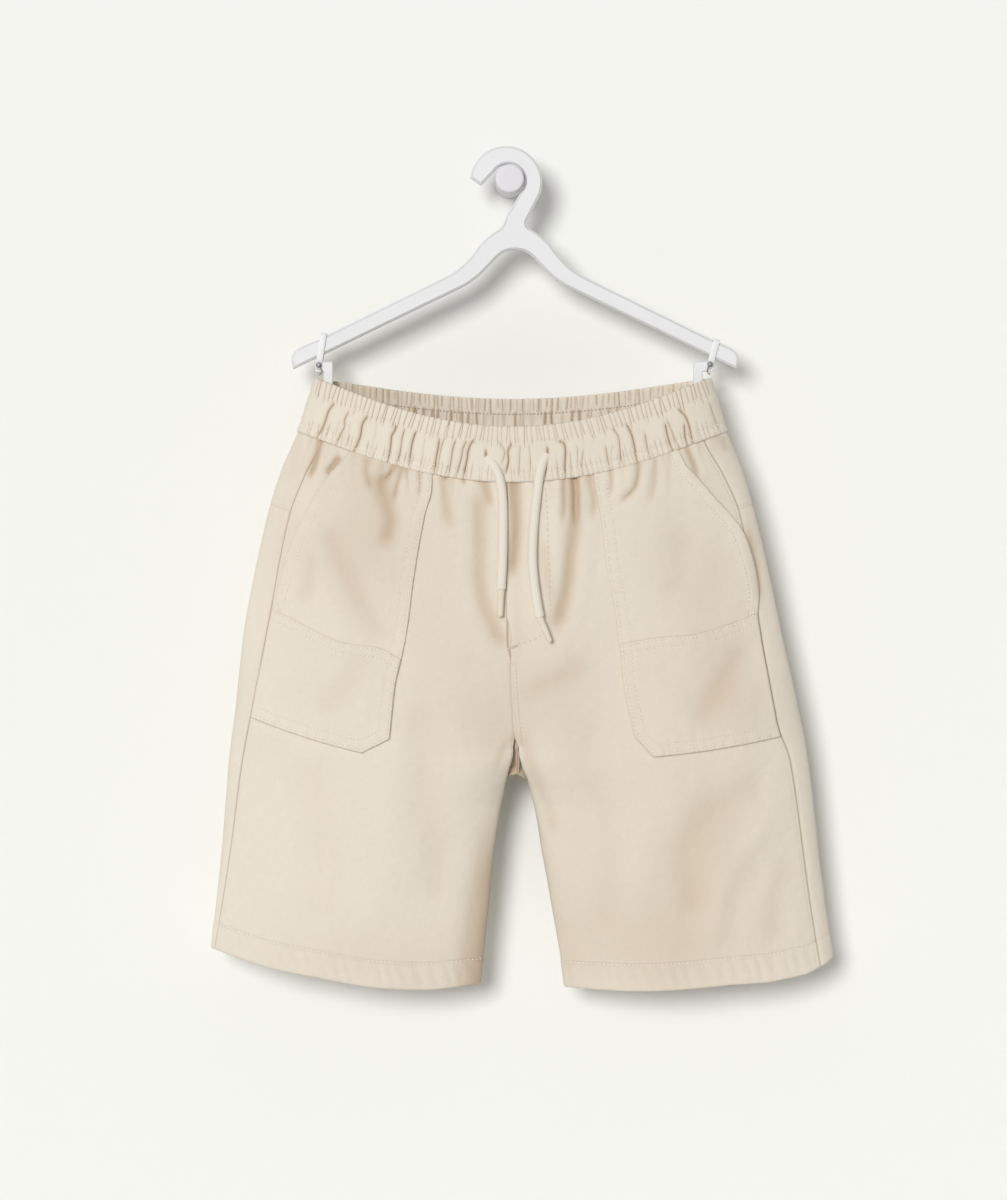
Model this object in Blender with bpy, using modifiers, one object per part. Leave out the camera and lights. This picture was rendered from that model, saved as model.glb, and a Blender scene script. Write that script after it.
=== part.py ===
"""Child's bermuda shorts, hung by two clip tabs from a flat hanger on a round wall peg.

The origin is the centre of the peg's flat back face, which lies in the wall's plane, Y = 0.
+Z is up, the shorts' front faces -Y, and +X is the wearer's left.

Each half of the shorts is a stack of oval sections. A level is named by its drop, measured down the
side fold from the waistband's top corner. Down to the fork the two ovals share one middle line, and
below it each is the section of a leg. Every cloth piece is a patch of that one surface.
"""
import math
from collections import namedtuple

import bmesh
import bpy
import numpy as np
from mathutils import Matrix

MM = 0.001

# ---------------------------------------------------------------- driving sizes
CLOTH = 1.2 * MM          # wall of every cloth piece
SEAM = 0.6 * MM           # space left between two pieces that are sewn edge to edge
INSEAM = 1.1 * MM         # the same at the inner fold, where their walls lean towards each other
LAYER = 0.9 * MM          # space left between a panel and what is sewn on it
TOUCH = 0.3 * MM          # space left between hard pieces that touch

WAIST_CORNER_Z = -140 * MM    # the waistband's top, at its two side folds
BAND_DROP = 36 * MM           # height of the waistband
HEADER = 10 * MM              # height of the gathered header above the band's channel
YOKE_DROP = 88 * MM           # where the back yoke ends, at the side fold
FORK_DROP = 237 * MM          # level where the two legs part
FORK_RISE = 62 * MM           # height over which one body section turns into two leg sections
HEM_DROP = 398 * MM           # the hem, at the side fold
LEFT_LEG_LONGER = 6 * MM      # the left leg's side fold hangs this much lower
FORK_ROWS = 6                 # rows of faces over the fork's rise
LEG_ROWS = 8                  # rows of faces from the fork to the hem

# One section of the shorts, in mm. centre: where the middle line lies on X. half: middle line to side
# fold. gap: middle line to the leg's inner edge. sag_front, sag_back: how much lower the middle of the
# section hangs than its side fold. depth_front, depth_back: from the fold's plane to the cloth.
# plane: that plane on Y. seam_right, seam_left: from the side fold to the side seam, on the front.
Level = namedtuple("Level", "drop centre half gap sag_front sag_back depth_front depth_back plane "
                            "seam_right seam_left")
LEVELS = (
    Level(0,   2.4, 138.5, 0.0,  35, 13.5, 36, 27, -44, 18.0, 17.0),     # band's top edge
    Level(36,  2.0, 149.5, 0.0,  36, 14.0, 36, 27, -44, 18.0, 17.0),     # waist seam
    Level(64,  1.6, 161.0, 0.0,  36, 14.0, 35, 27, -44, 16.5, 13.5),
    Level(92,  1.3, 169.5, 0.0,  35, 14.0, 34, 27, -44, 15.0, 10.5),     # yoke seam
    Level(162, 1.7, 185.0, 0.0,  33, 13.0, 32, 26, -43, 16.5, 14.0),     # hip
    Level(237, 5.4, 197.8, 0.0,  30, 12.0, 29, 23, -42, 11.5, 17.0),     # fork
    Level(263, 6.2, 202.0, 8.0,  30, 12.0, 27, 22, -41, 10.0, 13.0),
    Level(330, 7.6, 209.0, 20.6, 30, 12.0, 24, 20, -40, 6.5, 11.0),      # middle of the leg
    Level(398, 8.7, 217.5, 29.5, 31, 12.0, 22, 18, -39, 3.0, 9.5),       # hem
)

# The largest folds of the front, in mm. x: to the wearer's left of the middle line, down: below the
# waistband's corner, both at the fold's two ends. bow: how far its middle bends towards +X.
# width: from its line to where it has faded. height: out of the cloth, so a trough is negative.
Fold = namedtuple("Fold", "x0 down0 x1 down1 bow width height")
FRONT_FOLDS = (
    Fold(-30,  80,   -6, 236, -5, 13, -3.5),     # trough from the band to the fork, right of the fly
    Fold(47,   72,    8, 250, 9,  13, -3.5),     # the same, left of the fly
    Fold(-14,  84,   -6, 190, -3, 12, 2.5),      # ridge between the right trough and the fly
    Fold(-122, 100, -88, 196, 6,  24, -2.6),     # broad trough across the right pocket
    Fold(150,  150, 120, 260, -8, 25, -2.3),     # trough down the left pocket
    Fold(72,   200,  14, 240, 3,  14, 2.0),      # ridge from the left pocket to the fork
    Fold(182,  290, 128, 400, -14, 24, -3.0),    # trough across the left leg to its hem
    Fold(-24,  320, -48, 410, -3, 16, -2.5),     # trough beside the right leg's inner edge
)
BACK_FOLDS = (
    Fold(-60,  120, -12, 230, -6, 20, -3.0),     # drag lines from the seat to the fork
    Fold(60,   120,  14, 230, 6,  20, -3.0),
    Fold(-130, 270, -110, 400, 8, 24, -2.5),
    Fold(140,  280, 116, 400, -8, 24, -2.5),
)

# The waistband's pleats
PLEAT_PITCH = 13 * MM
PLEAT_HEIGHT = 1.1 * MM
CLIP_CLEAR = 16 * MM      # stretch beside each side fold that the clip keeps flat

# Mock fly: the left front laps over the right one
LAP = 3 * MM
LAP_END = (132 * MM, 150 * MM)        # drops between which the lap runs out
LAP_LIFT_END = (150 * MM, 175 * MM)   # drops between which its edge comes down to the seam
LAP_SLOPE = 9 * MM                    # how far from the middle line the left front starts to rise

# The patch pockets, in mm, as (x outwards from the middle line, down from the waistband's corner)
Pocket = namedtuple("Pocket", "mouth_top mouth_end bottom_side corner chamfer inner_low inner_mid "
                              "inner_top patch_side patch_inner")
POCKETS = {
    "right": Pocket(mouth_top=111.5, mouth_end=122, bottom_side=236, corner=(107.5, 260.5),
                    chamfer=(91.5, 250), inner_low=(77.5, 196), inner_mid=(65.5, 118),
                    inner_top=54.7, patch_side=161, patch_inner=196),
    "left": Pocket(mouth_top=114, mouth_end=121, bottom_side=250, corner=(95, 264),
                   chamfer=(82.5, 249), inner_low=(76.5, 185), inner_mid=(66, 120),
                   inner_top=58, patch_side=164, patch_inner=184.5),
}
POCKET_FROM_SEAM = 1.0 * MM       # the pocket's outer edge stops this far inside the side seam
PATCH_INSET = 0.8 * MM            # the second layer stops this far inside the pocket's edge

# Drawcord: where each end leaves its buttonhole and hangs, (x on the world's X, down), in mm
CORD_DIAMETER = 6.4 * MM
CORD_DROP_SHARE = 0.85    # a level's drop over its height below the waist, near the cord
CORD_ROUTES = {
    "right": ((-15.8, 55.5), (-11.2, 61), (-7.4, 69), (-5.5, 79), (-4.6, 92), (-4.6, 110), (-5.0, 128),
              (-6.0, 149)),
    "left": ((26.0, 53.5), (22.8, 60), (20.4, 70), (18.6, 84), (17.1, 98), (16.0, 113), (15.8, 128),
             (17.3, 145), (19.6, 160), (21.3, 168)),
}
TIP_LENGTH = 17 * MM
TIP_WIDTH = 4.2 * MM
TIP_THICK = 2.4 * MM
TIP_TURN = {"right": math.radians(2), "left": math.radians(-24)}   # lean from hanging straight down

# Hanger and wall peg
PEG_RADIUS = 10 * MM
PEG_LENGTH = 52 * MM
HANGER_THICK = 9 * MM
HANGER_Y = -40.5 * MM             # the plate's middle
HANGER_MID_X = 3.8 * MM           # the shoulders' line of symmetry
HOOK_CENTRE = (-2.5 * MM, -2.1 * MM)
HOOK_RADIUS = 25.3 * MM
EYE_CENTRE = (-1.05 * MM, -1.05 * MM)
EYE_RADIUS = 11.8 * MM
ARM_SLOPE = math.radians(26.2)

# The straps and the clip tabs
STRAP_WIDTH = 4.5 * MM
STRAP_THICK = 1.0 * MM
STRAP_TAIL = 6.5 * MM             # how far the strap's front run hangs below the arm
STRAP_X = {"right": -131.5 * MM, "left": 143.3 * MM}     # middle of the loop on the arm
STRAP_LEAN = {"right": math.radians(9), "left": math.radians(16)}       # of its top, towards +X
TAB_WIDTH = 6.6 * MM
TAB_INSET = 5.8 * MM              # from the waistband's side fold to the tab's plate
TAB_THICK = 2.0 * MM
TAB_TOP_Z = -127.8 * MM
TAB_EAR = 2.5 * MM                # how far its ear reaches past the pin's middle, outwards and down
TAB_BOTTOM_Z = -158 * MM
PIN_RADIUS = 1.9 * MM
PIN_LENGTH = 1.6 * MM

SIDES = {"right": -1, "left": 1}


# ---------------------------------------------------------------- scene, materials
def clear_scene():
    """Remove every object that the file starts with."""
    for thing in list(bpy.data.objects):
        bpy.data.objects.remove(thing, do_unlink=True)


def make_material(name, colour, roughness, metallic=0.0):
    """A Principled BSDF material."""
    material = bpy.data.materials.new(name)
    material.use_nodes = True
    shader = material.node_tree.nodes["Principled BSDF"]
    shader.inputs["Base Color"].default_value = (*colour, 1.0)
    shader.inputs["Roughness"].default_value = roughness
    shader.inputs["Metallic"].default_value = metallic
    return material


def add_object(name, data, material):
    """Link a mesh or a curve to the shorts' collection under its node's name."""
    thing = bpy.data.objects.new(name, data)
    thing.data.materials.append(material)
    PARTS.objects.link(thing)
    return thing


# ---------------------------------------------------------------- the shorts' surface
def smooth_step(value, start, end):
    """0 before start, 1 after end, and an S-curve between them."""
    t = np.clip((value - start) / (end - start), 0.0, 1.0)
    return t * t * (3.0 - 2.0 * t)


def level_value(column, drop):
    """One column of LEVELS at any drop, in metres.

    A cubic through the rows, whose slope at a row is the harmonic mean of the two slopes beside it,
    or flat where they turn, so that it never swings past a row.
    """
    at = np.array([level.drop for level in LEVELS], float) * MM
    value = np.array([getattr(level, column) for level in LEVELS], float) * MM
    step = np.diff(at)
    rise = np.diff(value) / step
    slope = np.concatenate([rise[:1], np.zeros(len(rise) - 1), rise[-1:]])
    turning = rise[:-1] * rise[1:] <= 0.0
    total = np.where(turning, 1.0, rise[:-1] + rise[1:])
    slope[1:-1] = np.where(turning, 0.0, 2.0 * rise[:-1] * rise[1:] / total)
    row = np.clip(np.searchsorted(at, drop, side="right") - 1, 0, len(step) - 1)
    t = np.clip((drop - at[row]) / step[row], 0.0, 1.0)
    return ((1 + 2 * t) * (1 - t) ** 2 * value[row] + t * (1 - t) ** 2 * step[row] * slope[row]
            + t * t * (3 - 2 * t) * value[row + 1] + t * t * (t - 1) * step[row] * slope[row + 1])


def oval(drop):
    """The section at a drop: its half-width, its middle's distance from the middle line, and how far
    it has parted, from 0 in the body to 1 in the legs.

    The oval runs from the side fold to the inner edge. In the body its inner half is cut off at the
    middle line, and less and less of it over FORK_RISE, until at the fork it is whole.
    """
    parted = smooth_step(drop, FORK_DROP - FORK_RISE, FORK_DROP)
    half = level_value("half", drop)
    gap = level_value("gap", drop) + SEAM / 2 + 0.6 * CLOTH * parted
    width = (half - gap) / (1.0 + parted)
    return width, half - width, parted


def fold_height(folds, x, down):
    """Sum of the folds at (x, down): each is a bell across its bowed line, faded at both ends."""
    total = np.zeros(np.broadcast(x, down).shape)
    for fold in folds:
        run_x = (fold.x1 - fold.x0) * MM
        run_down = (fold.down1 - fold.down0) * MM
        length = math.hypot(run_x, run_down)
        along = ((x - fold.x0 * MM) * run_x + (down - fold.down0 * MM) * run_down) / length ** 2
        across = ((x - fold.x0 * MM) * run_down - (down - fold.down0 * MM) * run_x) / length
        bowed = across - 4.0 * fold.bow * MM * along * (1.0 - along)
        fade = smooth_step(along, -0.05, 0.25) * (1.0 - smooth_step(along, 0.75, 1.05))
        total = total + fold.height * MM * fade * np.exp(-(1.5 * bowed / (fold.width * MM)) ** 2)
    return total


def shorts_point(side, drop, turn):
    """A point of the cloth's middle sheet, as x, y, z.

    side is 1 for the wearer's left half and -1 for the right one. turn goes round the section: 0 at
    the inner edge, pi at the side fold, and 2 pi at the inner edge again, by the back. The point is
    outwards = middle - width * cos(turn) from the middle line and depth * sin(turn) from the plane.
    """
    width, middle, _ = oval(drop)
    outwards = middle - width * np.cos(turn)
    front = np.clip(np.sin(turn), 0.0, 1.0)
    back = np.clip(-np.sin(turn), 0.0, 1.0)
    sag_front = level_value("sag_front", drop)
    sag_back = level_value("sag_back", drop)
    sag = (sag_front + sag_back) / 2 + (sag_front - sag_back) / 2 * (front - back)
    share = (outwards / level_value("half", drop)) ** 2
    longer = LEFT_LEG_LONGER * share * smooth_step(drop, FORK_DROP, HEM_DROP) * (side > 0)
    down = drop + sag * (1.0 - share) + longer
    y = (level_value("plane", drop) - level_value("depth_front", drop) * front
         + level_value("depth_back", drop) * back)
    x = side * outwards
    y = y - np.clip(3 * front, 0.0, 1.0) * fold_height(FRONT_FOLDS, x, down)
    y = y + np.clip(3 * back, 0.0, 1.0) * fold_height(BACK_FOLDS, x, down)
    return level_value("centre", drop) + x, y, WAIST_CORNER_Z - down


def front_point(side, outwards, down):
    """The front's point at a distance from the middle line and a height below the band's corner.

    The level it lies on is found by stepping: drop = down - sag at the last drop.
    """
    drop = down * 0.9
    for _ in range(30):
        width, middle, _ = oval(drop)
        turn = np.arccos(np.clip((middle - outwards) / width, -1.0, 1.0))
        _, _, z = shorts_point(side, drop, turn)
        drop = np.clip(drop + 0.8 * (down - (WAIST_CORNER_Z - z)), 0.0, 1.2 * HEM_DROP)
    return shorts_point(side, drop, turn)


def raised_front_point(side, outwards, down, height):
    """A point on the front, moved out along the cloth's normal by height."""
    nudge = 1.0 * MM
    x, y, z = front_point(side, outwards, down)
    y_out = front_point(side, outwards + nudge, down)[1]
    y_down = front_point(side, outwards, down + nudge)[1]
    slope_x = side * (y_out - y) / nudge
    slope_z = -(y_down - y) / nudge
    length = np.sqrt(1.0 + slope_x ** 2 + slope_z ** 2)
    return x + height * slope_x / length, y - height / length, z + height * slope_z / length


def turn_at_side_seam(side, drop):
    """The turn at which the side seam runs down the front face."""
    width, middle, _ = oval(drop)
    inset = level_value("seam_left" if side > 0 else "seam_right", drop)
    return np.arccos((middle - (level_value("half", drop) - inset)) / width)


def half_seam_turn(drop, turn, space=SEAM):
    """The turn that covers half of a seam's space."""
    width, _, _ = oval(drop)
    depth = level_value("depth_back", drop)
    return space / 2 / np.hypot(width * np.sin(turn), depth * np.cos(turn))


def inner_turn(drop):
    """The turn of a half's inner edge: the centre seam in the body, the inseam on the leg."""
    _, _, parted = oval(drop)
    return np.maximum(np.arccos(parted), half_seam_turn(drop, 0.0, INSEAM))


# ---------------------------------------------------------------- cloth pieces
def cloth_piece(name, place, columns, rows, material, ring=False):
    """A grid laid by place(u, v), which gives x, y, z, with the cloth's wall by Solidify."""
    mesh = bmesh.new()
    bmesh.ops.create_grid(mesh, x_segments=columns, y_segments=rows, size=0.5)
    grid = np.array([vert.co[:2] for vert in mesh.verts]) + 0.5
    spots = np.stack(np.broadcast_arrays(*place(grid[:, 0], grid[:, 1])), axis=1)
    for vert, spot in zip(mesh.verts, spots):
        vert.co = spot
    if ring:
        bmesh.ops.remove_doubles(mesh, verts=mesh.verts, dist=0.01 * MM)
    data = bpy.data.meshes.new(name)
    mesh.to_mesh(data)
    mesh.free()
    piece = add_object(name, data, material)
    wall = piece.modifiers.new("wall", "SOLIDIFY")
    wall.thickness = CLOTH
    wall.offset = 0.0
    wall.use_even_offset = True
    data.shade_smooth()
    return piece


def rows_between(levels, v):
    """A drop for each v from 0 to 1, with the named levels evenly spread over v."""
    return np.interp(v, np.linspace(0.0, 1.0, len(levels)), levels)


def make_front(side_name, material):
    """A front panel, from the waist seam to the hem, with its lap over the fly if it is the left one."""
    side = SIDES[side_name]
    body = [BAND_DROP + SEAM / 2, 60 * MM, 85 * MM, 110 * MM, LAP_END[0], LAP_END[1], LAP_LIFT_END[1]]
    fork = list(np.linspace(FORK_DROP - FORK_RISE + 12 * MM, FORK_DROP, FORK_ROWS))
    leg = list(np.linspace(FORK_DROP, HEM_DROP, LEG_ROWS + 1)[1:])
    levels = body + fork + leg

    def place(u, v):
        drop = rows_between(levels, v)
        first = inner_turn(drop)
        lift = 0.0
        if side_name == "left":
            lapped = 1.0 - smooth_step(drop, *LAP_END)
            width, middle, _ = oval(drop)
            first = first - lapped * (first - np.arccos(np.clip((middle + LAP) / width, -1.0, 1.0)))
            lift = (CLOTH + LAYER) * (1.0 - smooth_step(drop, *LAP_LIFT_END))
        last = turn_at_side_seam(side, drop)
        last = last - half_seam_turn(drop, last)
        turn = first + (last - first) * u
        x, y, z = shorts_point(side, drop, turn)
        outwards = side * (x - level_value("centre", drop))
        return x, y - lift * (1.0 - smooth_step(outwards, 0.0, LAP_SLOPE)), z

    return cloth_piece(f"front_panel_{side_name}", place, 18, len(levels) - 1, material)


def make_back_piece(name, side, levels, columns, material):
    """A patch of the back, from the side seam round the side fold to the centre seam or inseam."""

    def place(u, v):
        drop = rows_between(levels, v)
        first = turn_at_side_seam(side, drop)
        first = first + half_seam_turn(drop, first)
        last = 2 * math.pi - inner_turn(drop)
        return shorts_point(side, drop, first + (last - first) * u)

    return cloth_piece(name, place, columns, len(levels) - 1, material)


def make_back(side_name, yoke_material, leg_material):
    """The back yoke and the back leg below it."""
    side = SIDES[side_name]
    yoke = [BAND_DROP + SEAM / 2, 62 * MM, YOKE_DROP - SEAM / 2]
    leg = ([YOKE_DROP + SEAM / 2, 120 * MM, 155 * MM]
           + list(np.linspace(FORK_DROP - FORK_RISE + 12 * MM, FORK_DROP, FORK_ROWS))
           + list(np.linspace(FORK_DROP, HEM_DROP, LEG_ROWS + 1)[1:]))
    make_back_piece(f"back_yoke_{side_name}", side, yoke, 16, yoke_material)
    make_back_piece(f"back_leg_{side_name}", side, leg, 16, leg_material)


def pleat(distance, drop, from_fold):
    """Height of the band's pleats: uneven waves along it, pinched at its top, stitch row and seam."""
    uneven = distance + 3.1 * MM * np.sin(distance / (29 * MM)) + 1.7 * MM * np.sin(distance / (11 * MM))
    header = np.sin(math.pi * np.clip(drop / HEADER, 0, 1)) * 0.5 + 0.3 * (drop < HEADER)
    channel = np.sin(math.pi * np.clip((drop - HEADER) / (BAND_DROP - HEADER), 0, 1))
    flat = smooth_step(from_fold, 0.3 * CLIP_CLEAR, CLIP_CLEAR)
    return PLEAT_HEIGHT * (header + channel) * flat * np.sin(2 * math.pi * uneven / PLEAT_PITCH)


def make_waistband(material):
    """The waistband: one closed ring of evenly spaced columns, with its pleats."""
    around = np.linspace(0.0, 2 * math.pi, 2000)
    half = LEVELS[1].half * MM
    step = np.hypot(np.diff(half * np.cos(around)), np.diff(LEVELS[1].depth_front * MM * np.sin(around)))
    length = np.concatenate([[0.0], np.cumsum(step)])
    levels = [0.0, HEADER, 19 * MM, 28 * MM, BAND_DROP - SEAM / 2]

    def place(u, v):
        drop = rows_between(levels, v)
        angle = np.interp(u * length[-1], length, around)
        side = np.where(np.cos(angle) >= 0, 1.0, -1.0)
        outwards = level_value("half", drop) * np.abs(np.cos(angle))
        from_fold = level_value("half", drop) - outwards
        height = pleat(u * length[-1], drop, from_fold)
        turn = np.where(np.sin(angle) >= 0, math.pi - np.arccos(np.abs(np.cos(angle))),
                        math.pi + np.arccos(np.abs(np.cos(angle))))
        x, y, z = shorts_point(side, drop, turn)
        return x + height * np.cos(angle) * 0.3, y - height * np.sin(angle), z

    return cloth_piece("waistband", place, 144, len(levels) - 1, material, ring=True)


def seam_outwards(side, down):
    """How far outwards the side seam lies at a height on the front."""
    drop = np.linspace(BAND_DROP, HEM_DROP, 80)
    x, _, z = shorts_point(side, drop, turn_at_side_seam(side, drop))
    outwards = side * (x - level_value("centre", drop))
    return np.interp(down, WAIST_CORNER_Z - z, outwards)


def waist_seam_down(side, outwards):
    """Height of the waist seam on the front, as a distance below the band's corner."""
    width, middle, _ = oval(BAND_DROP)
    turn = np.arccos(np.clip((middle - outwards) / width, -1.0, 1.0))
    return WAIST_CORNER_Z - shorts_point(side, np.full_like(outwards, BAND_DROP + 0.8 * MM), turn)[2]


def smooth_line(points, t):
    """A curve through a few points for t from 0 to 1: x and down are cubics between the points."""
    points = np.array(points, float)
    at = np.linspace(0.0, len(points) - 1, len(points))
    padded = np.vstack([2 * points[0] - points[1], points, 2 * points[-1] - points[-2]])
    place = np.clip(t, 0, 1) * (len(points) - 1)
    row = np.clip(place.astype(int), 0, len(points) - 2)
    f = (place - at[row])[:, None]
    a, b, c, d = padded[row], padded[row + 1], padded[row + 2], padded[row + 3]
    return 0.5 * (2 * b + (c - a) * f + (2 * a - 5 * b + 4 * c - d) * f ** 2
                  + (3 * b - a - 3 * c + d) * f ** 3)


def pocket_outer_edge(side, pocket, t):
    """The pocket's outer edge for t from 0 to 1: its slanted mouth, then beside the side seam."""
    mouth_top = np.array([pocket.mouth_top * MM])
    top = waist_seam_down(side, mouth_top)[0]
    down = top + (pocket.bottom_side * MM - top) * t
    mouth = smooth_step((down - top) / (pocket.mouth_end * MM - top), 0.0, 1.0)
    straight = np.clip((down - top) / (pocket.mouth_end * MM - top), 0.0, 1.0)
    seam = seam_outwards(side, down) - POCKET_FROM_SEAM
    blend = 0.8 * straight + 0.2 * mouth
    outwards = np.where(straight < 1.0, mouth_top[0] + (seam - mouth_top[0]) * blend, seam)
    return np.stack([outwards, down], axis=1)


def pocket_plan(side, pocket, u, v):
    """A Coons patch of the pocket: u from its outer to its inner edge, v from its top to its bottom."""
    top_inner = waist_seam_down(side, np.array([pocket.inner_top * MM]))[0]
    inner_points = [(pocket.inner_top * MM, top_inner)]
    for spot in (pocket.inner_mid, pocket.inner_low, pocket.chamfer):
        inner_points.append((spot[0] * MM, spot[1] * MM))
    outer = pocket_outer_edge(side, pocket, v)
    inner = smooth_line(inner_points, v)
    top_x = pocket.mouth_top * MM + (pocket.inner_top - pocket.mouth_top) * MM * u
    top = np.stack([top_x, waist_seam_down(side, top_x)], axis=1)
    low_outer = pocket_outer_edge(side, pocket, np.array([1.0]))[0]
    corner = np.array(pocket.corner) * MM
    chamfer = np.array(pocket.chamfer) * MM
    at = (0.0, 0.9, 1.0)
    bottom = np.stack([np.interp(u, at, (low_outer[k], corner[k], chamfer[k])) for k in (0, 1)], axis=1)
    u, v = u[:, None], v[:, None]
    corners = ((1 - u) * (1 - v) * top_plan(side, pocket.mouth_top)
               + u * (1 - v) * top_plan(side, pocket.inner_top)
               + (1 - u) * v * low_outer + u * v * chamfer)
    return (1 - v) * top + v * bottom + (1 - u) * outer + u * inner - corners


def top_plan(side, outwards):
    """The waist seam's point at a distance in mm from the middle line."""
    spot = np.array([outwards * MM])
    return np.array([spot[0], waist_seam_down(side, spot)[0]])


def make_pocket(side_name, material, patch_material):
    """The patch pocket, moved out from the front panel's own points, and the patch on its lower part."""
    side = SIDES[side_name]
    pocket = POCKETS[side_name]

    def place(u, v):
        plan = pocket_plan(side, pocket, u, v)
        return raised_front_point(side, plan[:, 0], plan[:, 1], CLOTH + LAYER)

    def place_patch(u, v):
        plan_all = pocket_plan(side, pocket, u, np.ones_like(u))
        outer_top = np.array([seam_outwards(side, np.array([pocket.patch_side * MM]))[0]
                              - POCKET_FROM_SEAM, pocket.patch_side * MM])
        inner_top = np.array([pocket.inner_low[0] * MM, pocket.patch_inner * MM])
        span = outer_top + (inner_top - outer_top) * u[:, None]
        middle = np.mean([outer_top, inner_top, plan_all.mean(axis=0)], axis=0)
        plan = span + (plan_all - span) * v[:, None]
        inwards = middle - plan
        plan = plan + PATCH_INSET * inwards / np.linalg.norm(inwards, axis=1)[:, None]
        return raised_front_point(side, plan[:, 0], plan[:, 1], 2 * (CLOTH + LAYER))

    cloth_piece(f"pocket_{side_name}", place, 10, 10, material)
    cloth_piece(f"pocket_patch_{side_name}", place_patch, 10, 6, patch_material)


# ---------------------------------------------------------------- drawcord
def make_drawcord(side_name, material, tip_material):
    """One free end of the drawcord, lying on the front, and the flattened tip that ends it."""
    route = np.array(CORD_ROUTES[side_name]) * MM
    count = int(np.sum(np.linalg.norm(np.diff(route, axis=0), axis=1)) / (2.5 * CORD_DIAMETER)) + 2
    line = smooth_line(route, np.linspace(0.0, 1.0, count))
    middle = level_value("centre", line[:, 1] * CORD_DROP_SHARE)
    offset = line[:, 0] - middle
    stand = CLOTH / 2 + PLEAT_HEIGHT + TOUCH + CORD_DIAMETER / 2
    side = np.where(offset >= 0, 1.0, -1.0)
    spots = np.stack(raised_front_point(side, np.abs(offset), line[:, 1], stand), axis=1)
    spots[:, 1] = np.minimum(spots[:, 1], spots[0, 1])
    curve = bpy.data.curves.new(f"drawcord_{side_name}", "CURVE")
    curve.dimensions = "3D"
    curve.bevel_depth = CORD_DIAMETER / 2
    curve.bevel_resolution = 2
    curve.use_fill_caps = True
    spline = curve.splines.new("POLY")
    spline.points.add(count - 1)
    for point, spot in zip(spline.points, spots):
        point.co = (*spot, 1.0)
    add_object(f"drawcord_{side_name}", curve, material)
    make_tip(side_name, spots[-1], tip_material)


def make_tip(side_name, cord_end, material):
    """A flattened cylinder that hangs from the cord's end."""
    lean = TIP_TURN[side_name]
    mesh = bmesh.new()
    bmesh.ops.create_cone(mesh, cap_ends=True, segments=16, radius1=TIP_WIDTH / 2,
                          radius2=TIP_WIDTH / 2, depth=TIP_LENGTH)
    for vert in mesh.verts:
        vert.co.y *= TIP_THICK / TIP_WIDTH
    data = bpy.data.meshes.new(f"drawcord_tip_{side_name}")
    mesh.to_mesh(data)
    mesh.free()
    data.shade_smooth()
    data.set_sharp_from_angle(angle=math.radians(40))
    tip = add_object(f"drawcord_tip_{side_name}", data, material)
    reach = TIP_LENGTH / 2 + 2 * TOUCH
    tip.location = (cord_end[0] - math.sin(lean) * reach, cord_end[1],
                    cord_end[2] - math.cos(lean) * reach)
    tip.rotation_euler = (0.0, lean, 0.0)


# ---------------------------------------------------------------- hanger, peg, straps, clips
def arc(centre, radius, start, end, count):
    """Points on an arc between two angles in degrees."""
    angle = np.radians(np.linspace(start, end, count))
    return np.stack([centre[0] + radius * np.cos(angle), centre[1] + radius * np.sin(angle)], axis=1)


def shoulder(points, sign, count):
    """One shoulder's outline through its points, given outwards from the hanger's middle, in mm."""
    line = smooth_line(np.array(points) * MM, np.linspace(0.0, 1.0, count))
    return np.stack([HANGER_MID_X + sign * line[:, 0], line[:, 1]], axis=1)


def hanger_outline():
    """The plate's outline: the hook, the right neck, both arms and the arch between them."""
    neck_to_arm = [(11, -35), (17.5, -39.5), (24, -45.3), (29.8, -53), (36.5, -60.2), (43, -65.4), (50, -69.3)]
    tip = [(137, -112), (149, -117.2), (154.6, -121), (156.6, -126.5), (155.4, -133)]
    under_to_arch = [(45, -79.5), (34.5, -74.2), (25.8, -68), (18.7, -61), (12.4, -54.4), (6.6, -50.5),
                     (0.0, -49.2)]
    hook_outer = arc(HOOK_CENTRE, HOOK_RADIUS, 173, -22, 30)
    notch = arc((16.0 * MM, -30.8 * MM), 4.4 * MM, 155, 225, 5)
    left_shoulder = shoulder(neck_to_arm, 1, 19)
    left_tip = shoulder(tip, 1, 9)
    left_under = shoulder(under_to_arch, 1, 17)
    right_under = shoulder(under_to_arch, -1, 17)[::-1]
    right_tip = shoulder(tip, -1, 9)[::-1]
    right_shoulder = shoulder(neck_to_arm, -1, 19)[::-1]
    neck = np.array([(-4.2, -31.5), (-2.0, -25.0), (1.6, -19.8)]) * MM
    eye = arc(EYE_CENTRE, EYE_RADIUS, -40, 141, 26)
    end_corner = np.array([(-20.0, -4.3)]) * MM
    return np.concatenate([hook_outer, notch, left_shoulder, left_tip, left_under, right_under[1:],
                           right_tip, right_shoulder, neck, eye, end_corner])


def make_flat_outline(name, outlines, thickness, material):
    """A filled 2D curve of closed outlines, extruded by half its thickness each way."""
    curve = bpy.data.curves.new(name, "CURVE")
    curve.dimensions = "2D"
    curve.fill_mode = "BOTH"
    curve.extrude = thickness / 2
    for outline in outlines:
        spline = curve.splines.new("POLY")
        spline.points.add(len(outline) - 1)
        for point, spot in zip(spline.points, outline):
            point.co = (spot[0], spot[1], 0.0, 1.0)
        spline.use_cyclic_u = True
    return add_object(name, curve, material)


def make_hanger(material):
    """The hanger's plate, stood up in the X-Z plane."""
    plate = make_flat_outline("hanger", [hanger_outline()], HANGER_THICK, material)
    plate.location = (0.0, HANGER_Y, 0.0)
    plate.rotation_euler = (math.pi / 2, 0.0, 0.0)


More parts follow.
